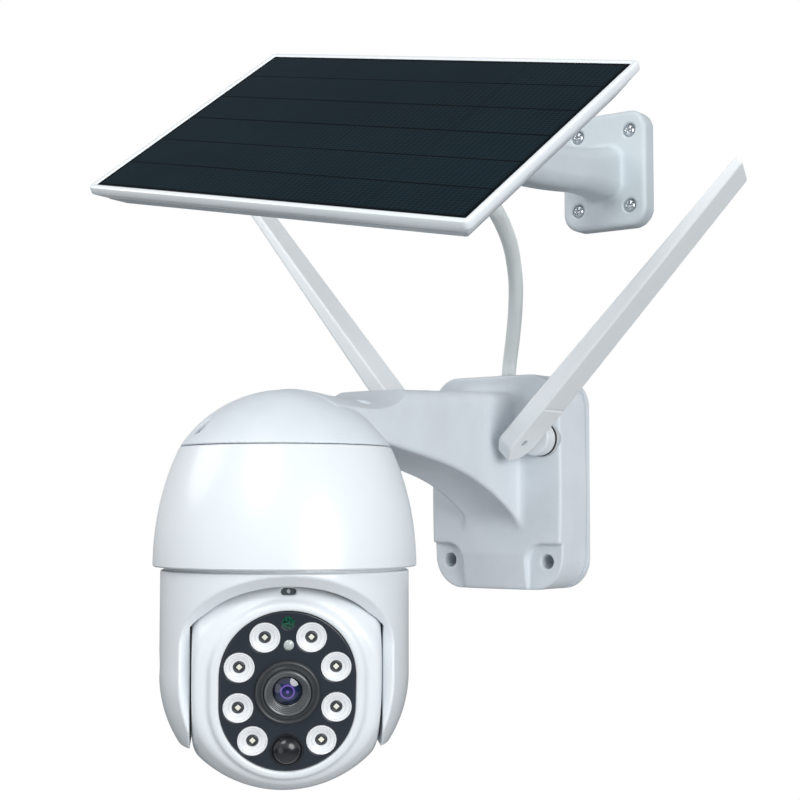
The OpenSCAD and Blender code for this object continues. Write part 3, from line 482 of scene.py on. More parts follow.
def ellipsoid(x, y, z, rx, ry, rz):
    k0 = np.sqrt((x / rx) ** 2 + (y / ry) ** 2 + (z / rz) ** 2)
    k1 = np.sqrt((x / rx ** 2) ** 2 + (y / ry ** 2) ** 2 + (z / rz ** 2) ** 2)
    return k0 * (k0 - 1) / np.maximum(k1, 1e-6)


# ---------------------------------------------------------------- shared sizes and the bodies' frames

def shift(x, y, z):
    """A move in millimetres."""
    return Matrix.Translation(Vector((x, y, z)) * MM)


def turn(degrees, axis):
    return Matrix.Rotation(math.radians(degrees), 4, axis)


REACH = 185.0
BALL_Z = -75.0
BALL_R = 49.5
SPLIT_GAP = 0.15
SPLIT_Y = 6.0
HEAD_AT = Matrix.Translation((0, -REACH * MM, BALL_Z * MM)) @ turn(42.0, "Z")
NOD_AT = HEAD_AT @ turn(12.5, "X")
FACE_OUT = turn(90.0, "X")
TURN_X, TURN_Z = 50.5, 141.7
HINGE = Vector((TURN_X, -151.0, TURN_Z)) * MM
KNUCKLE_AT = Matrix.Translation(HINGE) @ turn(10.4, "Y")
LUG_AT = KNUCKLE_AT @ turn(37.8, "X")
PANEL_AT = LUG_AT @ shift(-3.0, -41.5, 24.0)
PANEL_W, PANEL_D, PANEL_T = 185.0, 124.0, 12.0
JUNCTION_H = 6.0
GLAND_X, GLAND_Y, GLAND_L = 32.0, 16.0, 6.0
BRACKET = (50.8, 149.8)
BRACKET_HOLES = (28.0, 36.3)
CAP_SCREW_R, CAP_SCREW_Z, CAP_SCREW_TURN = 36.0, 16.5, -25.0
HEAD_SCREW, HEAD_SCREW_SEAT = 24.0, 20.0
LUG_HOLE_X, LUG_HOLE_Y, LUG_BASE_Z = 14.0, 8.5, 9.0
ANTENNA_X, ANTENNA_Z = 28.0, 20.3


# ---------------------------------------------------------------- the panel's cable, made first

def smooth_path(points, n):
    """A Catmull-Rom curve through given points, n steps to a span."""
    p = [Vector(q) for q in points]
    p = [2 * p[0] - p[1]] + p + [2 * p[-1] - p[-2]]
    out = []
    for i in range(1, len(p) - 2):
        for k in range(n):
            t = k / n
            a, b, c, d = p[i - 1], p[i], p[i + 1], p[i + 2]
            out.append(0.5 * (2 * b + (c - a) * t + (2 * a - 5 * b + 4 * c - d) * t * t
                              + (3 * b - a - 3 * c + d) * t ** 3))
    return out + [p[-2]]


def tube(name, path, radius, material, ends, sides=20):
    """A closed round tube along a path in millimetres; ends are the directions it leaves in, if given."""
    verts, faces = [], []
    reference = Vector((0.9, 0.44, 0.0))
    last = len(path) - 1
    for i, p in enumerate(path):
        along = (path[min(i + 1, last)] - path[max(i - 1, 0)]).normalized()
        if i == 0 and ends[0]:
            along = Vector(ends[0]).normalized()
        if i == last and ends[1]:
            along = Vector(ends[1]).normalized()
        side = along.cross(reference).normalized()
        up = along.cross(side)
        for k in range(sides):
            a = 2 * math.pi * k / sides
            verts.append(p + radius * (math.cos(a) * side + math.sin(a) * up))
    for i in range(last):
        for k in range(sides):
            n = (k + 1) % sides
            faces.append((i * sides + k, i * sides + n, (i + 1) * sides + n, (i + 1) * sides + k))
    faces.append(tuple(range(sides - 1, -1, -1)))
    faces.append(tuple(last * sides + k for k in range(sides)))
    return sharp_by_angle(make_object(name, verts, faces, material), 50.0)


def path_length(path):
    return sum((b - a).length for a, b in zip(path, path[1:]))


CABLE_R = 3.5
MEET = (63.0, -125.0, 112.0)
CABLE_START = tuple((PANEL_AT @ (Vector((GLAND_X, GLAND_Y, -PANEL_T - JUNCTION_H - GLAND_L)) * MM)) / MM)
UPPER = [CABLE_START, (75, -165.5, 115.8), (72.5, -155, 113.2), (69, -142, 112.6), MEET]
LOWER = [MEET, (51, -100, 110.5), (39, -75, 106.5), (28.5, -55, 101), (19, -38, 93),
         (11, -26, 81.5), (4.5, -18, 69.5), (0.5, -14, 60), (-1, -13, 52.7)]
MEET_DIRECTION = tuple(Vector(LOWER[1]) - Vector(UPPER[-2]))
upper_path = smooth_path(UPPER, 10)
lower_path = smooth_path(LOWER, 10)
cable_upper = tube("cable_upper", upper_path, CABLE_R, CABLE_JACKET, (None, MEET_DIRECTION))
cable_lower = tube("cable_lower", lower_path, CABLE_R, CABLE_JACKET, (MEET_DIRECTION, (0, 0, -1)))
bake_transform(cable_upper)
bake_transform(cable_lower)
for cable, path, exit_at, node in ((cable_upper, upper_path, UPPER[-1], "panel_cable_upper"),
                                   (cable_lower, list(reversed(lower_path)), LOWER[-1], "panel_cable_lower")):
    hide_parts(node)
    metres = [tuple(p * MM) for p in (path if node.endswith("lower") else reversed(path))]
    tuple(Vector(exit_at) * MM)
    path_length(path) * MM


# ---------------------------------------------------------------- wall box, arm and cap

BOX_HALF_W, BOX_HALF_H = 37.0, 51.5
ARM_START, ARM_TOP = 27.6, 43.5


def arm_under(u):
    """The height of the arm's underside at a distance from the wall, and its slope there."""
    s = (150.0 - u) / 122.0
    return 15.0 - 16.0 * s - 20.0 * np.maximum(s, 0) ** 4, (16.0 + 80.0 * np.maximum(s, 0) ** 3) / 122.0


def arm_housing_distance(x, y, z):
    u = -y
    waist = BOX_HALF_W - 1.6 * (z / BOX_HALF_H) ** 2
    box = rrect(x * BOX_HALF_W / waist, z, BOX_HALF_W, BOX_HALF_H, 15.0)
    front = 27.8 + 3.0 * (1 - (x / BOX_HALF_W) ** 2) - 0.17 * np.maximum(-34.5 - z, 0)
    box = smax(box, u - front, 1.6)
    low, slope = arm_under(u)
    half = np.interp(u, [ARM_START, 62.0, REACH], [15.0, 15.4, 26.0])
    arch = 3.6 * np.clip(1 - (x / half) ** 2, 0, 1) * np.clip((110.0 - u) / 80.0, 0, 1)
    under = (low + arch - z) / np.sqrt(1 + slope ** 2)
    top = z - (ARM_TOP - 7.9 * (u - ARM_START) / 157.4)
    arm = smax(smax(top, np.abs(x) - half, 6.5), under, 2.4)
    near = np.maximum(REACH - u, 0)
    cap = ellipsoid(x, y + REACH, z + 16.0, 51.0, 51.0, 51.6)
    arm = np.maximum(arm, cap - 0.004 * near ** 2.2)
    arm = np.maximum(np.maximum(arm, u - REACH), 10.0 - u)
    body = smin(box, arm, 4.5)
    body = smin(body, np.maximum(cap, 12.35 - z), 1.6)
    # pockets in the lower corners, then the wall screws' holes
    pocket = rrect(np.abs(x) - 17.8 - 40.0, z + 29.5 + 40.0, 40.0, 40.0, 9.0)
    pocket = np.maximum(pocket, 25.4 - u)
    body = smax(body, -pocket, 0.8)
    hole = np.hypot(np.abs(x) - 27.75, np.abs(z) - 38.0)
    body = smax(body, -np.maximum(hole - 3.5, 8.0 - u), 0.4)
    body = np.maximum(body, -(hole - 2.4))
    a = math.radians(CAP_SCREW_TURN)
    for sign in (1, -1):
        cx = CAP_SCREW_R * math.sin(a) * sign
        cy = -REACH - CAP_SCREW_R * math.cos(a) * sign
        well = np.hypot(x - cx, y - cy)
        body = smax(body, -np.maximum(well - 3.2, CAP_SCREW_Z - z), 0.8)
    body = np.maximum(body, 3.0 - u)
    # hollow inside
    room = np.maximum(rrect(x, z, 34.4, 48.9, 12.4), u - 24.6)
    room = np.minimum(room, np.maximum(ellipsoid(x, y + REACH, z + 16.0, 48.4, 48.4, 49.0), 5.0 - z))
    posts = np.minimum(hole - 5.6, pocket - 2.6)
    room = np.maximum(room, -posts)
    return np.maximum(body, -room)


mould("arm_moulding", arm_housing_distance, (-44, -236.5, -52), (44, -2.5, 52), 0.8, WHITE_TEXTURED, None,
      "camera_base", "white_plastic", "arm_housing")


# ---------------------------------------------------------------- dome skirt

DOME_WALL = 2.4


def dome_radius(z):
    return 53.1 * math.sqrt(1 - ((z + 35.7) / 80.6) ** 2)


outer = [(dome_radius(z), z) for z in np.linspace(-35.2, 11.6, 30)]
skirt = [(50.9, -35.2), (51.3, -35.7), (52.6, -35.7)] + outer + [(dome_radius(12.0) - 0.5, 12.05)]
skirt += [(22.0, 12.05), (22.0, 9.2), (dome_radius(9.2) - 3.2, 9.2)]
skirt += [(dome_radius(z) - DOME_WALL, z) for z in np.linspace(7.5, -3.6, 8)]
skirt += [(43.5, -3.8), (43.5, -7.0), (dome_radius(-7.2) - DOME_WALL, -7.2)]
skirt += [(dome_radius(z) - DOME_WALL, z) for z in np.linspace(-10.0, -34.0, 12)]
AXIS_AT = Matrix.Translation((0, -REACH * MM, 0))
turned("dome_skirt", skirt, WHITE, AXIS_AT, 192, "camera_base", "white_plastic", "dome_shell")


# ---------------------------------------------------------------- yoke

SLOT_HALF = 37.3
ARCH_Z, ARCH_H = 9.0, 24.0


def yoke_distance(x, y, z):
    """The yoke about the ball's centre: a bell with an arched slot for the head through it."""
    skin = np.sqrt(x ** 2 + y ** 2 + np.minimum(z + 3.0, 0) ** 2) - 50.0
    round_xy = np.hypot(x, y)
    body = smax(skin, z - 38.0, 0.8)
    body = np.minimum(body, np.maximum(round_xy - 48.6, np.maximum(z - 53.0, 20.0 - z)))
    body = smax(body, -31.0 - z, 1.2)
    size = np.hypot(x / SLOT_HALF, (z - ARCH_Z) / ARCH_H)
    steep = np.hypot(x / SLOT_HALF ** 2, (z - ARCH_Z) / ARCH_H ** 2)
    bow = size * (size - 1) / np.maximum(steep, 1e-6)
    slot = np.abs(x) - SLOT_HALF
    arch = np.where(z > ARCH_Z, bow, slot)
    flare = (arch - 0.85 * (round_xy - 45.2)) * 0.76
    body = smax(body, -flare, 0.5)
    body = np.maximum(body, -arch)
    body = np.maximum(body, -np.maximum(sphere(x, y, z, 50.2), slot))
    room = np.maximum(np.maximum(round_xy - 47.0, z - 50.6), np.maximum(-5.0 - z, slot))
    lip = np.maximum(arch - 6.5, -7.0 - skin)
    body = np.maximum(body, -np.maximum(room, -lip))
    body = np.maximum(body, -np.maximum(np.hypot(y, z) - 5.9, x + 30.0))
    body = np.maximum(body, -(np.hypot(x, y) - 5.5))
    return body


mould("yoke_moulding", yoke_distance, (-50.5, -50.5, -31.5), (50.5, 50.5, 53.5), 0.6, WHITE, HEAD_AT, "yoke",
      "white_plastic", "yoke_shell")


# ---------------------------------------------------------------- head

MIC_HALF, MIC_Z = 1.9, 38.2
FACE_FLOOR = 32.8


def oval(x, z, w, h):
    """An upright oval with half-round ends."""
    return np.hypot(x, np.maximum(np.abs(z) - (h - w) / 2, 0)) - w / 2


def head_distance(x, y, z):
    """Both head shells in one: a ball with flat cheeks, a bezel round the face and a hollow inside."""
    u = -y
    ball = sphere(x, y, z, BALL_R)
    body = smax(ball, np.abs(x) - 36.6, 3.0)
    body = smax(body, u - 33.0, 2.5)
    rim = np.maximum(smax(oval(x, z, 60.5, 71.0), u - 35.3, 2.6), 24.0 - u)
    body = smin(body, rim, 1.6)
    body = smax(body, -smax(oval(x, z, 52.4, 63.9), FACE_FLOOR - u, 0.3), 0.9)
    slot = np.hypot(np.maximum(np.abs(x) - MIC_HALF, 0), z - MIC_Z) - 1.05
    body = smax(body, -np.maximum(slot, -(ball + 1.6)), 0.4)
    room = np.maximum(np.maximum(ball + 2.6, np.abs(x) - 34.0), u - 30.4)
    window = np.maximum(oval(x, z, 49.0, 60.5), 20.0 - u)
    body = np.maximum(body, -np.minimum(room, window))
    pins = np.hypot(y, z) - 4.0
    return np.maximum(body, -np.maximum(pins, 30.0 - np.abs(x)))


def head_front_distance(x, y, z):
    return smax(head_distance(x, y, z), y - (SPLIT_Y - SPLIT_GAP), 0.5)


def head_rear_distance(x, y, z):
    seam = SPLIT_Y + SPLIT_GAP - y
    body = smax(head_distance(x, y, z), seam, 0.5)
    screws = np.hypot(np.abs(x) - HEAD_SCREW, np.abs(z) - HEAD_SCREW)
    boss = np.maximum(screws - 4.4, np.maximum(seam, sphere(x, y, z, BALL_R - 1.0)))
    body = np.minimum(body, boss)
    body = smax(body, -np.maximum(screws - 3.2, HEAD_SCREW_SEAT - y), 0.5)
    grille = np.full_like(body, 9.0)
    for ring, count in ((0.0, 1), (3.4, 6), (6.8, 12)):
        for k in range(count):
            a = 2 * math.pi * k / count
            grille = np.minimum(grille, np.hypot(x + 3.0 - ring * math.cos(a), z - ring * math.sin(a)) - 0.85)
    return np.maximum(body, -np.maximum(grille, 38.0 - y))


mould("head_front_moulding", head_front_distance, (-37, -50, -50), (37, 6.5, 50), 0.75, WHITE, NOD_AT, "head",
      "white_plastic", "head_front")
mould("head_rear_moulding", head_rear_distance, (-37, 5.5, -50), (37, 50, 50), 0.75, WHITE, NOD_AT, "head",
      "white_plastic", "head_rear")


def mic_distance(x, y, z):
    """The dark insert behind the microphone slot, with a round hole in it."""
    ball = sphere(x, y, z, BALL_R)
    plug = np.maximum(np.hypot(np.maximum(np.abs(x) - MIC_HALF, 0), z - MIC_Z) - 1.5, y + 20.0)
    plug = np.maximum(plug, np.maximum(ball + 1.0, -ball - 2.4))
    return np.maximum(plug, -(np.hypot(x - 0.2, z - MIC_Z) - 0.75))


mould("mic_insert", mic_distance, (-4, -33, 36), (4, -26, 40.5), 0.18, MIC_GREY, NOD_AT, "head",
      "grey_plastic")


# ---------------------------------------------------------------- face

PIR_Z, STATUS_Z = -23.1, 27.2
LIGHT_X, LIGHT_Z = 0.3, 18.5
LEDS = [(sx * a, b) for sx in (-1, 1) for a, b in ((8.85, 21.5), (18.45, 9.8), (18.8, -6.2), (13.2, -19.4))]


def face_distance(x, y, z):
    u = -y
    plate = smax(oval(x, z, 52.0, 63.5), u - 34.7, 0.7)
    plate = np.maximum(plate, FACE_FLOOR - u)
    for cx, cz in LEDS:
        plate = np.maximum(plate, -(np.hypot(x - cx, z - cz) - 6.05))
    plate = np.maximum(plate, -(np.hypot(x, z) - 9.05))
    plate = np.maximum(plate, -(np.hypot(x, z - PIR_Z) - 5.95))
    plate = np.maximum(plate, -(np.hypot(x, z - STATUS_Z) - 2.65))
    return np.maximum(plate, -(np.hypot(x - LIGHT_X, z - LIGHT_Z) - 2.05))


mould("face_plate", face_distance, (-27, -35.5, -33), (27, -32, 33), 0.3, BLACK, NOD_AT, "head",
      "black_plastic", "face_panel")


def on_face(x, z):
    """A frame at a place on the face, +Z out of it; heights run from the ball's centre."""
    return NOD_AT @ shift(x, 0, z) @ FACE_OUT


cup = [(2.35, 31.0), (5.85, 31.0), (5.85, 34.75), (5.7, 34.98), (5.4, 35.0), (5.2, 34.85), (5.12, 34.55),
       (4.98, 34.55), (4.9, 34.75), (4.4, 34.6), (3.78, 34.35), (3.72, 34.05), (3.6, 34.05), (3.54, 34.25),
       (2.9, 34.0), (2.4, 33.9), (2.35, 33.7)]
chip_can = [(0.0, 31.0), (2.3, 31.0), (2.3, 33.95), (2.15, 34.25), (1.9, 34.35), (1.6, 34.25), (1.45, 33.95),
            (0.0, 33.95)]
for i, (x, z) in enumerate(LEDS):
    turned(f"lamp_cup_{i}", cup, RIM_WHITE, on_face(x, z), 64, "head", "reflector",
           *(["led_reflectors"] if i == 0 else []))
    turned(f"lamp_can_{i}", chip_can, BLACK_SATIN, on_face(x, z), 40, "head", "black_plastic")


def chip_distance(x, y, z):
    """A small square plate, turned by 45 degrees."""
    body = rrect((x - y) * 0.7071, (x + y) * 0.7071, 0.9, 0.9, 0.2)
    return smax(body, np.maximum(z - 34.2, 33.8 - z), 0.12)


for i, (x, z) in enumerate(LEDS):
    mould(f"lamp_chip_{i}", chip_distance, (-1.45, -1.45, 33.7), (1.45, 1.45, 34.35), 0.12, CHIP,
          on_face(x, z), "head", "led_chip", *(["led_chips"] if i == 0 else []))

ring = [(9.1, 34.7), (12.45, 34.7), (12.45, 35.6), (12.2, 36.0), (11.7, 36.15), (11.3, 36.0), (11.1, 35.7),
        (10.7, 35.65), (10.5, 35.9), (10.1, 36.3), (9.6, 36.35), (9.25, 36.1), (9.1, 35.8)]
turned("lens_bezel", ring, BLACK_SATIN, on_face(0, 0), 128, "head", "black_plastic", "lens_ring")
barrel = [(0.0, 12.0), (9.0, 12.0), (9.0, 36.6), (8.8, 36.95), (8.3, 37.1), (7.9, 36.9), (7.75, 36.4),
          (7.4, 36.3), (7.3, 35.8), (6.95, 35.7), (6.85, 35.2), (6.5, 35.1), (6.4, 34.6), (6.1, 34.5),
          (6.0, 34.0), (5.75, 33.8), (5.7, 33.0), (0.0, 33.0)]
turned("lens_tube", barrel, LENS_METAL, on_face(0, 0), 128, "head", "black_plastic", "lens_barrel")


def domed_disc(name, r, base, rise, material, place, rings=14, segments=64):
    """A shallow dome with a flat back; its UV is its place across the disc, from -1 to 1."""
    curve = (r * r + rise * rise) / (2 * rise)
    profile = [(r * k / rings, base + math.sqrt(curve ** 2 - (r * k / rings) ** 2) - curve + rise)
               for k in range(rings, -1, -1)]
    obj = revolve(name, [(0.0, base - 0.6), (r, base - 0.6)] + profile, material, place, segments)
    flat = np.array([v.co for v in obj.data.vertices], float)
    inverse = np.array(place.inverted(), float)
    local = (flat @ inverse[:3, :3].T + inverse[:3, 3]) / MM
    layer = obj.data.uv_layers.new(name="UVMap")
    for loop in obj.data.loops:
        x, y, _ = local[loop.vertex_index]
        layer.data[loop.index].uv = (x / r, y / r)
    return obj


finish_piece(domed_disc("lens_front_glass", 5.7, 33.4, 1.5, lens_material_painted_reflections(), on_face(0, 0)),
             "head", "lens_glass", "lens_glass")
pir = [(0.0, 30.0), (5.85, 30.0), (5.85, 34.6), (6.5, 34.6), (6.5, 35.0), (6.3, 35.3), (5.85, 35.35),
       (5.6, 35.1)]
pir += [(5.5 * math.cos(a), 35.1 + 3.6 * math.sin(a)) for a in np.linspace(0.05, math.pi / 2 - 0.02, 16)]
pir += [(0.0, 38.7)]
turned("motion_dome", pir, PIR, on_face(0, PIR_Z), 96, "head", "black_plastic", "pir_dome")
finish_piece(domed_disc("status_lens", 2.6, 34.5, 0.3, window_material(), on_face(0, STATUS_Z), 6, 48),
             "head", "green_window", "status_window")
finish_piece(domed_disc("light_lens", 2.0, 34.5, 0.7, SENSOR, on_face(LIGHT_X, LIGHT_Z), 6, 48),
             "head", "milky_sensor", "light_sensor")


# ---------------------------------------------------------------- antennas

FOOT_R = 11.5


def blade_distance(x, y, z):
    """A flat antenna along +Z from its pin at the origin, tapered, with a slot in its foot."""
    half = np.interp(z, [21.0, 163.0], [4.2, 2.1])
    back = np.interp(z, [0.0, 12.0, 21.0, 156.0], [FOOT_R, FOOT_R, 11.0, 8.2])
    middle, depth = (back - 8.0) / 2, (back + 8.0) / 2
    body = smax(np.abs(x) - half, np.abs(y - middle) - depth, 1.3)
    tip = (z - (159.5 - 0.43 * y)) * 0.918
    body = smax(body, tip, 1.4)
    foot = np.where(z < 0, np.hypot(y, z) - FOOT_R, -9.0)
    foot = np.maximum(foot, -0.728 * (y + 8.0) - 0.686 * (z + 4.5))
    body = smax(body, foot, 1.2)
    step = np.maximum(np.abs(z - 21.0) - 0.45, -(np.abs(x) - half + 0.45))
    step = np.maximum(step, -6.6 - y)
    body = smax(body, -step, 0.3)
    tongue = np.maximum(np.abs(x) - 2.6, np.maximum(-6.4 - y, z - 6.8))
    tongue = np.maximum(tongue, -0.866 * y - 0.5 * z - 6.5)
    body = np.maximum(body, -tongue)
    return np.maximum(body, -(np.hypot(y, z) - 1.65))


def knuckle_distance(x, y, z):
    """The tongue round the pin, with its stem towards the collar, in the blade's own frame."""
    tongue = np.minimum(np.hypot(y, z) - 6.0, np.maximum(-y, np.maximum(np.abs(z) - 6.0, y - 13.0)))
    tongue = smax(tongue, np.abs(x) - 2.3, 0.5)
    stem = np.maximum(smax(np.hypot(x, z) - 8.0, 12.4 - y, 0.8), y - 19.4)
    spigot = np.maximum(np.hypot(x, z) - 3.0, np.maximum(15.0 - y, y - 25.5))
    body = np.minimum(smin(tongue, stem, 1.0), spigot)
    return np.maximum(body, -(np.hypot(y, z) - 1.6))


pin_shape = [(0.0, -4.3), (1.3, -4.3), (1.5, -4.1), (1.5, 4.1), (1.3, 4.3), (0.0, 4.3)]
collar = [(3.05, 24.9), (5.45, 24.9), (5.45, 26.6), (8.8, 26.6), (8.8, 29.3), (8.5, 29.7), (7.8, 29.8),
          (7.8, 30.4), (7.5, 30.6), (3.05, 30.6)]
seal_line = [(7.75, 29.55), (8.15, 29.7), (8.3, 30.0), (8.15, 30.3), (7.75, 30.5)]
for side, word, lean in ((1, "right", 45.0), (-1, "left", 40.0)):
    spot = shift(side * ANTENNA_X, -50.3, ANTENNA_Z)
    at = spot @ turn(side * lean, "Y")
    mould(f"blade_{word}_moulding", blade_distance, (-4.5, -8.5, -12.0), (4.5, 12.0, 163.5), 0.5, WHITE_BLADE,
          at, f"antenna_{word}", "white_plastic", f"antenna_blade_{word}")
    mould(f"knuckle_{word}_moulding", knuckle_distance, (-8.5, -7, -8.5), (8.5, 26, 8.5), 0.45, WHITE, at,
          f"antenna_swivel_{word}", "white_plastic", f"antenna_knuckle_{word}")
    across = at @ turn(90.0, "Y")
    turned(f"pin_{word}_turned", pin_shape, STEEL, across, 40, f"antenna_swivel_{word}", "steel",
           f"antenna_pin_{word}")
    wall_side = shift(side * ANTENNA_X, 0, ANTENNA_Z) @ FACE_OUT
    turned(f"collar_{word}", collar, GREY, wall_side, 72, "camera_base", "grey_plastic",
           f"antenna_base_{word}")
    turned(f"collar_seal_{word}", seal_line, RUBBER, wall_side, 72, "camera_base", "black_rubber")


# ---------------------------------------------------------------- bracket, knuckle and lug

TURN_SCREW_U = 127.0
ARM_END = 134.0
# the height of the arm's centre line against the distance from the wall, smoothed by a curve of fourth degree
ARM_LINE = np.polyfit([8.0, 17.0, 50.0, 90.0, 117.0, ARM_END], [148.6, 147.6, 144.0, 141.3, 141.6, TURN_Z], 4)


def bracket_distance(x, y, z):
    u = -y
    px, pz = x - BRACKET[0], z - BRACKET[1]
    plate = smax(rrect(px, pz, 22.5, 28.0, 9.0), u - 9.0, 2.6)
    plate = np.maximum(plate, -u)
    centre = np.polyval(ARM_LINE, np.clip(u, 8.0, ARM_END))
    share = np.clip((u - 8.0) / 30.0, 0, 1)
    half_h = 12.2 - 2.2 * share * share * (3 - 2 * share)
    corner = np.clip((u - 100.0) / 18.0, 0, 1) * 3.0 + 6.8
    arm = rrect(x - 50.6, z - centre, 10.0, half_h, corner)
    arm = smax(arm, u - ARM_END, 1.2)
    arm = np.maximum(arm, 4.0 - u)
    body = smin(plate, arm, 2.6)
    holes = np.hypot(np.abs(px) - BRACKET_HOLES[0] / 2, np.abs(pz) - BRACKET_HOLES[1] / 2)
    body = smax(body, -np.maximum(holes - 3.3, 7.5 - u), 0.4)
    body = np.maximum(body, -(holes - 2.0))
    bore = np.hypot(x - TURN_X, z - TURN_Z) - 5.05
    body = np.maximum(body, -np.maximum(bore, 119.0 - u))
    screw = np.hypot(x - TURN_X, u - TURN_SCREW_U) - 2.0
    return np.maximum(body, -np.maximum(screw, z - TURN_Z))


mould("bracket_casting", bracket_distance, (27.5, -135, 121), (74, 0.5, 179), 0.75, WHITE_PAINT, None,
      "camera_base", "painted_white", "panel_bracket")


THREAD_PITCH, THREAD_DEPTH = 1.1, 0.16


def screw_distance(head_r, head_h, shank, length):
    """A cross-head screw, its domed head on +Z from the origin and its thread below."""
    curve = (head_r ** 2 + head_h ** 2) / (2 * head_h)

    def f(x, y, z):
        bowl = sphere(x, y, z - (head_h - curve), curve)
        head = np.maximum(bowl, np.maximum(np.hypot(x, y) - head_r + 0.1, -z))
        wide = 0.34 + 0.12 * (z - head_h * 0.35)
        cross = np.minimum(np.maximum(np.abs(x) - wide, np.abs(y) - head_r * 0.62),
                           np.maximum(np.abs(y) - wide, np.abs(x) - head_r * 0.62))
        head = smax(head, -np.maximum(cross, head_h * 0.35 - z), 0.12)
        wave = np.cos(2 * np.pi * z / THREAD_PITCH + np.arctan2(y, x))
        thread = shank - THREAD_DEPTH + THREAD_DEPTH * wave
        stem = np.maximum(np.hypot(x, y) - thread, np.maximum(z - 0.1, -length - z))
        return np.minimum(head, stem)
    return f


def add_screws(name, spots, head_r, head_h, shank, length, body, node):
    """One screw mesh, copied to each spot; the first copy stands for the CAD node."""
    f = screw_distance(head_r, head_h, shank, length)
    lo, hi = (-head_r, -head_r, -length), (head_r, head_r, head_h)
    verts, faces = surface_nets(f, lo, hi, 0.24)
    for i, at in enumerate(spots):
        obj = make_object(f"{name}_{i}", verts, faces, STEEL, at)
        finish_piece(obj, body, "steel", *([node] if i == 0 else []))


def corner_spots(origin, dx, dz, turn_by):
    """Frames at the corners of a rectangle dx by dz round an origin."""
    return [origin @ shift(sx * dx / 2, 0, sz * dz / 2) @ turn_by
            for sx in (-1, 1) for sz in (-1, 1)]


BRACKET_AT = shift(BRACKET[0], -7.5, BRACKET[1])
add_screws("bracket_screw", corner_spots(BRACKET_AT, *BRACKET_HOLES, FACE_OUT), 3.0, 2.4, 1.85, 16.5,
           "camera_base", "bracket_screws")
BACK_OUT = turn(-90.0, "X")
REAR_AT = NOD_AT @ shift(0, HEAD_SCREW_SEAT, 0)
add_screws("head_screw", corner_spots(REAR_AT, 2 * HEAD_SCREW, 2 * HEAD_SCREW, BACK_OUT), 2.8, 1.8, 1.45,
           23.5, "head", "head_screws")
spots = []
for side in (0.0, 180.0):
    spots.append(AXIS_AT @ turn(side + CAP_SCREW_TURN, "Z") @ shift(0, -CAP_SCREW_R, CAP_SCREW_Z))
add_screws("cap_screw", spots, 2.9, 1.8, 1.45, 8.8, "camera_base", "cap_screws")
FLIP = Matrix.Rotation(math.pi, 4, "X")
spots = [LUG_AT @ shift(sx * LUG_HOLE_X, sy * LUG_HOLE_Y, LUG_BASE_Z) @ FLIP
         for sx in (-1, 1) for sy in (-1, 1)]
add_screws("lug_screw", spots, 2.4, 1.6, 1.55, 4.8, "panel", "lug_screws")


def panel_knuckle_distance(x, y, z):
    """The knuckle in its own frame: hinge bore along X, stem towards the wall along +Y."""
    eye = np.minimum(np.hypot(y, z) - 8.0, np.maximum(np.maximum(-y, y - 14.0), np.abs(z) - 7.0))
    eye = smax(eye, np.abs(x) - 6.0, 1.0)
    stem = smax(np.hypot(x, z) - 7.5, np.abs(y - 13.75) - 2.75, 0.8)
    spigot = np.maximum(np.hypot(x, z) - 5.0, np.maximum(14.0 - y, y - 31.5))
    body = np.minimum(smin(eye, stem, 1.5), spigot)
    return np.maximum(body, -(np.hypot(y, z) - 3.05))


mould("panel_knuckle_casting", panel_knuckle_distance, (-8, -8.5, -8.5), (8, 32, 8.5), 0.5, WHITE_PAINT,
      KNUCKLE_AT, "panel_swivel", "painted_white", "panel_knuckle")


def lug_distance(x, y, z):
    """The lug under the panel: a plate and two ears round the hinge at the origin."""
    base = smax(rrect(x, y, 17.0, 12.0, 4.0), np.maximum(LUG_BASE_Z - z, z - 12.0), 0.6)
    ear = np.minimum(np.hypot(y, z) - 7.0, np.maximum(np.abs(y) - 7.0, np.maximum(-z, z - 10.0)))
    ear = smax(ear, np.abs(np.abs(x) - 8.5) - 2.0, 0.7)
    body = smin(base, ear, 1.8)
    body = np.maximum(body, np.maximum(z - 12.0, -(np.hypot(y, z) - 3.0)))
    body = np.maximum(body, -(np.maximum(np.abs(x) - 6.5, z - LUG_BASE_Z)))
    holes = np.hypot(np.abs(x) - LUG_HOLE_X, np.abs(y) - LUG_HOLE_Y)
    return np.maximum(body, -(holes - 1.6))


mould("panel_lug_casting", lug_distance, (-17.5, -12.5, -7.5), (17.5, 12.5, 12.5), 0.5, GREY, LUG_AT, "panel",
      "grey_plastic", "panel_lug")


def bolt_distance(x, y, z):
    """The tilt bolt along Z, its domed head at the low end."""
    head = smax(np.hypot(x, y) - 5.5, np.maximum(z + 10.5, -14.4 - z), 1.4)
    socket = np.maximum(hexagon(x, y, 2.1), z + 12.2)
    stem = smax(np.hypot(x, y) - 3.0, z - 15.4, 0.6)
    stem = np.maximum(stem, -11.0 - z)
    return np.minimum(np.maximum(head, -socket), stem)


ALONG_X = LUG_AT @ turn(90.0, "Y")
mould("tilt_bolt_turned", bolt_distance, (-5.6, -5.6, -14.6), (5.6, 5.6, 15.6), 0.35, STEEL, ALONG_X,
      "panel_swivel", "steel", "tilt_bolt")


def nut_distance(x, y, z):
    """A hexagon nut along Z with its corners bevelled at both ends."""
    cone = (np.hypot(x, y) - 5.3 + np.maximum(z - 13.9, 0) + np.maximum(11.1 - z, 0)) * 0.8
    body = np.maximum(np.maximum(hexagon(x, y, 4.75), cone), np.abs(z - 12.5) - 2.0)
    return np.maximum(body, -(np.hypot(x, y) - 3.0))


mould("tilt_nut_turned", nut_distance, (-5.6, -5.6, 10.3), (5.6, 5.6, 14.7), 0.3, STEEL, ALONG_X,
      "panel_swivel", "steel", "tilt_nut")


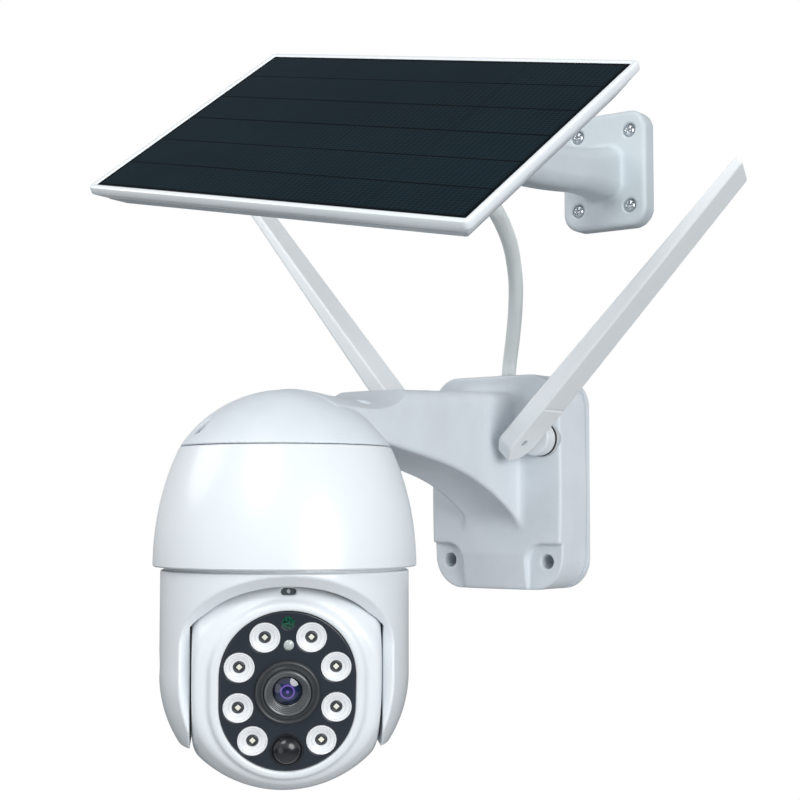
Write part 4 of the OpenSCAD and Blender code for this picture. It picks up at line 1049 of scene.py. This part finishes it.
def thumb_distance(x, y, z):
    """The clamp screw under the bracket's arm: a knurled grip on a shank, along -Z from the arm's axis."""
    a = np.arctan2(y, x)
    grip = smax(np.hypot(x, y) - 4.7 - 0.25 * np.cos(18 * a), np.abs(z + 14.0) - 3.0, 0.8)
    stem = np.maximum(np.hypot(x, y) - 2.0, np.maximum(z + 5.3, -11.5 - z))
    return np.minimum(grip, stem)


THUMB_AT = shift(TURN_X, -TURN_SCREW_U, TURN_Z)
mould("clamp_screw", thumb_distance, (-5.2, -5.2, -17.2), (5.2, 5.2, -5), 0.3, BLACK_SATIN, THUMB_AT,
      "camera_base", "black_plastic", "turn_screw")


# ---------------------------------------------------------------- solar panel

def rounded_loop(half_w, half_d, r, steps=6):
    """Points round a rounded rectangle, anticlockwise."""
    points = []
    for cx, cy, start in ((1, 1, 0), (-1, 1, 90), (-1, -1, 180), (1, -1, 270)):
        for k in range(steps + 1):
            a = math.radians(start + 90 * k / steps)
            points.append((cx * (half_w - r) + r * math.cos(a), cy * (half_d - r) + r * math.sin(a)))
    return points


CORNER_R, LEAST_CORNER_R = 2.6, 0.6


def rim_sweep(name, profile, material, hollow):
    """A shape round the panel through (inset, height) points: a hollow rim or a capped sheet."""
    verts, faces = [], []
    rings = []
    for inset, z in profile:
        corner = max(LEAST_CORNER_R, CORNER_R - inset)
        loop = rounded_loop(PANEL_W / 2 - inset, PANEL_D / 2 - inset, corner)
        rings.append(range(len(verts), len(verts) + len(loop)))
        verts += [(x, y, z) for x, y in loop]
    n = len(rings[0])
    pairs = list(zip(rings, rings[1:]))
    if hollow:
        pairs.append((rings[-1], rings[0]))
    for a, b in pairs:
        for k in range(n):
            faces.append((a[k], a[(k + 1) % n], b[(k + 1) % n], b[k]))
    if not hollow:
        faces.append(tuple(reversed(rings[0])))
        faces.append(tuple(rings[-1]))
    return sharp_by_angle(make_object(name, verts, faces, material, PANEL_AT), 28.0)


rim = [(5.3, -7.0), (4.5, -7.0), (4.1, -6.85), (0.2, -3.3), (0.0, -2.9), (0.0, -0.9), (0.15, -0.35),
       (0.5, -0.05), (1.0, 0.1), (1.9, 0.1), (2.5, -0.1), (2.8, -0.4), (2.8, -1.65), (5.3, -1.65)]
finish_piece(rim_sweep("panel_rim", rim, WHITE, True), "panel", "white_plastic", "panel_frame")
tray = [(10.2, -PANEL_T), (9.4, -11.9), (8.8, -11.5), (5.1, -8.0), (4.6, -7.5), (4.6, -7.0)]
finish_piece(rim_sweep("panel_tray", tray, GREY, False), "panel", "grey_plastic", "panel_back")
GLASS_INSET = 2.9
CELL_ROWS = 6
cells = solar_material(PANEL_W / 2 - GLASS_INSET, PANEL_D / 2 - GLASS_INSET, CELL_ROWS)
sheet = [(GLASS_INSET, -1.6), (GLASS_INSET, -0.45), (3.1, -0.25)]
glass = rim_sweep("panel_glass_sheet", sheet, cells, False)
layer = glass.data.uv_layers.new(name="UVMap")
inverse = PANEL_AT.inverted()
for loop in glass.data.loops:
    local = (inverse @ glass.data.vertices[loop.vertex_index].co) / MM
    layer.data[loop.index].uv = (local.x, local.y)
finish_piece(glass, "panel", "panel_glass", "panel_glass")


def junction_distance(x, y, z):
    body = rrect(x - 38.0, y - 14.0, 18.0, 13.0, 3.0)
    body = smax(body, -(PANEL_T + JUNCTION_H) - z, 1.2)
    return np.maximum(body, z + PANEL_T)


mould("junction_cover", junction_distance, (19, 0, -18.5), (57, 28, -11.5), 0.5, GREY, PANEL_AT, "panel",
      "grey_plastic", "junction_box")
gland = [(3.55, 0.0), (5.6, 0.0), (5.6, 2.2), (5.2, 2.4), (5.2, 3.4), (4.9, 4.8), (4.2, GLAND_L),
         (3.55, GLAND_L)]
GLAND_AT = PANEL_AT @ shift(GLAND_X, GLAND_Y, -PANEL_T - JUNCTION_H) @ FLIP
turned("panel_gland_nut", gland, GREY, GLAND_AT, 48, "panel", "grey_plastic", "panel_gland")
boot = [(3.55, 0.0), (5.5, 0.0), (5.5, 0.8), (5.2, 1.2), (3.55, 1.2)]
BOOT_AT = shift(-1.0, -13.0, 51.5)
turned("box_gland_ring", boot, GREY, BOOT_AT, 48, "camera_base", "grey_plastic")


# ---------------------------------------------------------------- CAD nodes that stay, and their materials

KEPT = {
    "back_plate": WHITE_TEXTURED, "back_gasket": RUBBER, "battery_cells": WRAP, "charge_board": BOARD,
    "box_gland": GREY, "pan_chassis": GREY, "pan_bearing": BRASS, "pan_motor": STEEL, "pan_pinion": BRASS,
    "pan_gear": GREY, "pan_spindle": STEEL, "spindle_nut": STEEL, "tilt_bush": BRASS, "tilt_shaft": STEEL,
    "led_board": BOARD, "main_board": BOARD, "speaker": BLACK_SATIN, "tilt_motor": STEEL, "tilt_pin": STEEL,
    "solar_cells": BLACK,
}
for node, material in KEPT.items():
    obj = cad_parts[node]
    obj.data.materials.clear()
    obj.data.materials.append(material)


# ---------------------------------------------------------------- floor

def add_floor():
    mesh = bpy.data.meshes.new("floor")
    half, height = 2.6, -1.5
    corners = [(sx * half, sy * half, height) for sx, sy in ((-1, -1), (1, -1), (1, 1), (-1, 1))]
    mesh.from_pydata(corners, [], [(0, 1, 2, 3)])
    floor = bpy.data.objects.new("floor", mesh)
    mat, tree, shader = new_material("floor", (0.80, 0.81, 0.82), 0.7)
    noise = add_noise(tree, 6.0)
    tree.links.new(ramp_between(tree, noise.outputs["Fac"], 0.3, 0.7, (0.79, 0.80, 0.81), (0.81, 0.82, 0.83)),
                   shader.inputs["Base Color"])
    mesh.materials.append(mat)
    bpy.context.scene.collection.objects.link(floor)


add_floor()
